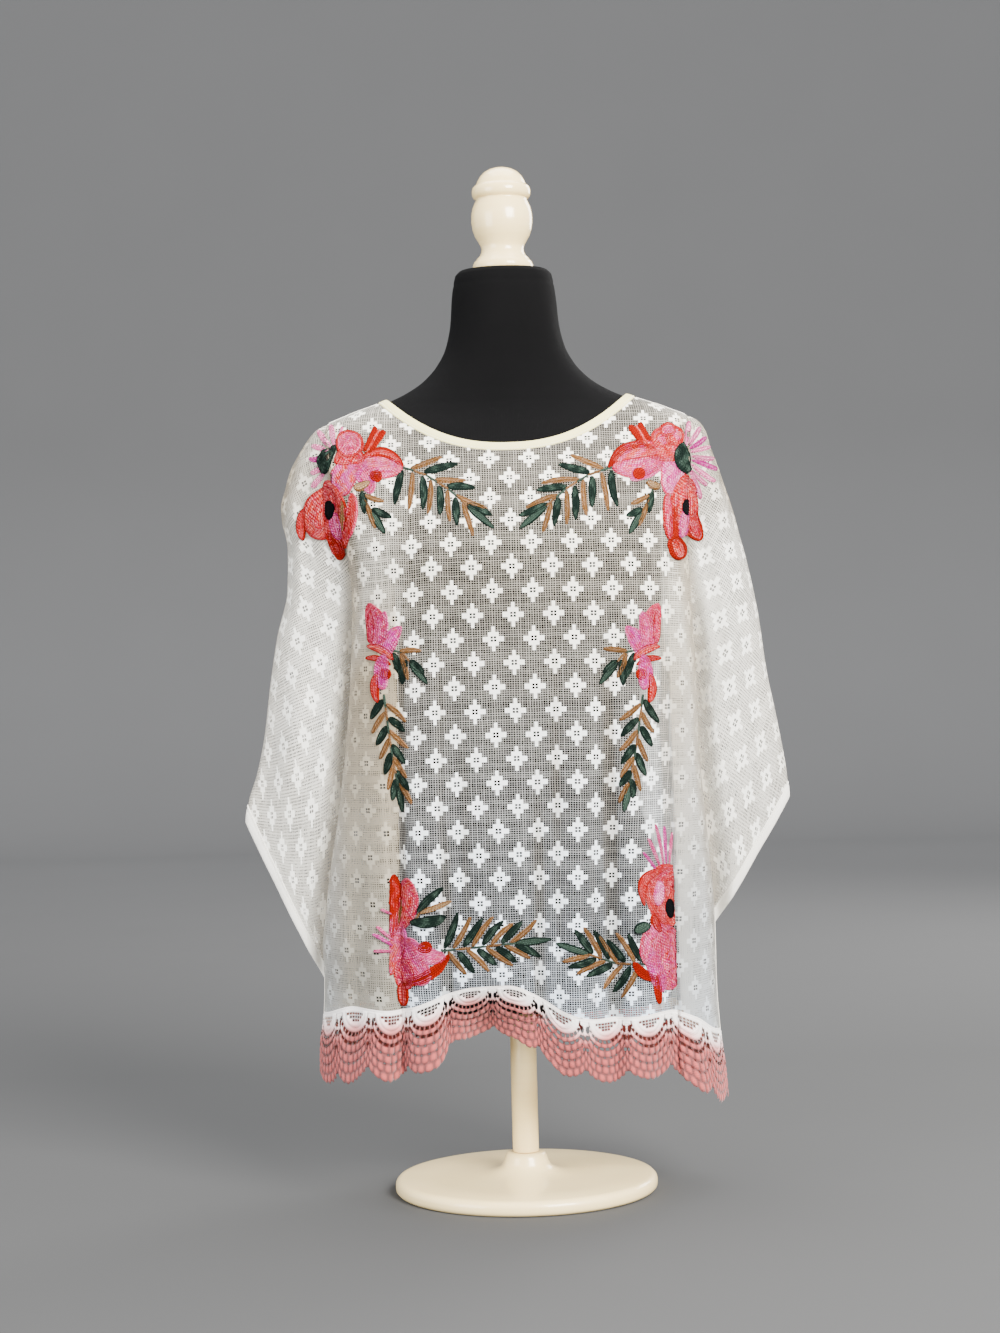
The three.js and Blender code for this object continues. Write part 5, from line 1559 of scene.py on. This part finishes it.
# Garlands: the stem's points, then for each side of it the leaves' turn from the stem (degrees) at its
# start and end, how many, and their length, then how far the mirror image is shifted
GARLANDS = [
    # under the neck
    ([(401, 467), (424, 474), (447, 488), (468, 506)], (88, 30, 8, 37), (-42, -14, 6, 38), 0),
    # spray on the chest
    ([(360, 486), (366, 502), (372, 512)], (14, 4, 2, 27), (-54, -34, 2, 25), 0),
    # beside the half flower
    ([(390, 650), (402, 652), (410, 662)], (66, 36, 3, 30), (-16, -10, 2, 24), SIDE_SHIFT),
    # hanging branch
    ([(384, 694), (388, 725), (392, 755), (398, 786)], (40, 16, 7, 28), (-44, -18, 7, 28), SIDE_SHIFT),
]
LOWER_GARLANDS = {
    "left": [
        ([(441, 951), (480, 947), (516, 943)], (-62, -32, 8, 38), (62, 30, 8, 33), 0),
    ],
    "right": [
        ([(646, 964), (618, 964), (588, 954)], (62, 34, 7, 36), (-60, -30, 7, 36), 0),
    ],
}


# The two kinds of leaf: distance from the stem, share of the length, half width, yarns, tip, base, rows
LEAVES = [(2.5, 1, 4.1, "GLG", 0.6, 0.45, 2), (1.5, 1.04, 2.9, "TD", 0.42, 0.35, 1)]
STEM_PIECE = 13


def garland(work, stem, first, second, shift, flip, cut=None):
    stem = np.array([sides(p, flip, shift) for p in stem], float)
    run = lengths_along(stem)
    at = lambda s: np.array([np.interp(s, run, stem[:, k]) for k in (0, 1)])
    pieces = max(2, int(run[-1] / STEM_PIECE))
    for i in range(pieces):
        a, b = at(run[-1] * i / pieces), at(run[-1] * (i + 1) / pieces)
        work.patch(a, b + (b - a) * 0.06, 1.15, "T" if i % 2 else "L", rows=1, tip=0.25, base=0.25, cut=cut)
    for k, (turn_from, turn_to, count, long) in enumerate((first, second)):
        for i in range(count):
            share = (i + 0.25 + 0.4 * k) / count
            root = at(run[-1] * share)
            ahead = at(min(run[-1], run[-1] * share + 3)) - at(run[-1] * share - 3)
            angle = math.atan2(ahead[1], ahead[0])
            turn = math.radians(mix(turn_from, turn_to, share)) * (-1 if flip else 1)
            angle += turn + work.chance.uniform(-0.07, 0.07)
            size = long * (1 + work.chance.uniform(-0.12, 0.1)) * (1.0 - 0.12 * share)
            way = np.array([math.cos(angle), math.sin(angle)])
            bend = work.chance.uniform(-0.05, 0.05)
            skip, reach, half, tones, point, foot, rows = LEAVES[(i + k) % 2]
            work.patch(root + way * skip, root + way * size * reach, half, tones, bend, point, foot,
                       rows=rows, cut=cut)
    tip = at(run[-1]) - at(run[-1] - 6)
    way = tip / np.hypot(*tip)
    end = at(run[-1])
    work.patch(end - way, end + way * first[3] * 0.95, 4.0, "GL", 0.0, 0.6, 0.45, rows=2, cut=cut)


def left_fold(px, py):
    """Whether a pixel lies where the embroidery goes under the left pleat."""
    return py > 860 and px < 388.5


def right_fold(px, py):
    """Whether a pixel lies where the embroidery goes round to the right side."""
    return py > 600 and px > 664 + (py - 605) * 0.04


yarn = yarn_material()
for end, flip, seed in (("left", False, 3), ("right", True, 11)):
    cut = right_fold if flip else left_fold
    shoulder, corner = (SHOULDER_RIGHT, CORNER_RIGHT) if flip else (SHOULDER_LEFT, CORNER_LEFT)
    bloom = Needlework(seed)
    for group, mirrored, shift in ((shoulder, False, 0), (SIDE_BLOOM, flip, SIDE_SHIFT), (corner, False, 0)):
        for i, row in enumerate(group):
            x0, y0, x1, y1, half, tones, bend, tip, base, edge = (*row, *USUAL[len(row) - FIXED:])
            start, stop = sides((x0, y0), mirrored, shift), sides((x1, y1), mirrored, shift)
            lift = PATCH_RISE * i + (EYE_LIFT if tones[0] in "KG" else 0)
            bloom.patch(start, stop, half, tones, -bend if mirrored else bend, tip, base, edge, lift,
                        cut=None if half < SPRAY_HALF else cut)
    bloom.done("embroidery_flowers_" + end, yarn)
    leaves = Needlework(seed + 5)
    for stem, first, second, shift in GARLANDS:
        garland(leaves, stem, first, second, shift, flip, cut)
    for stem, first, second, shift in LOWER_GARLANDS[end]:
        garland(leaves, stem, first, second, shift, False, cut)
    leaves.done("embroidery_leaves_" + end, yarn)
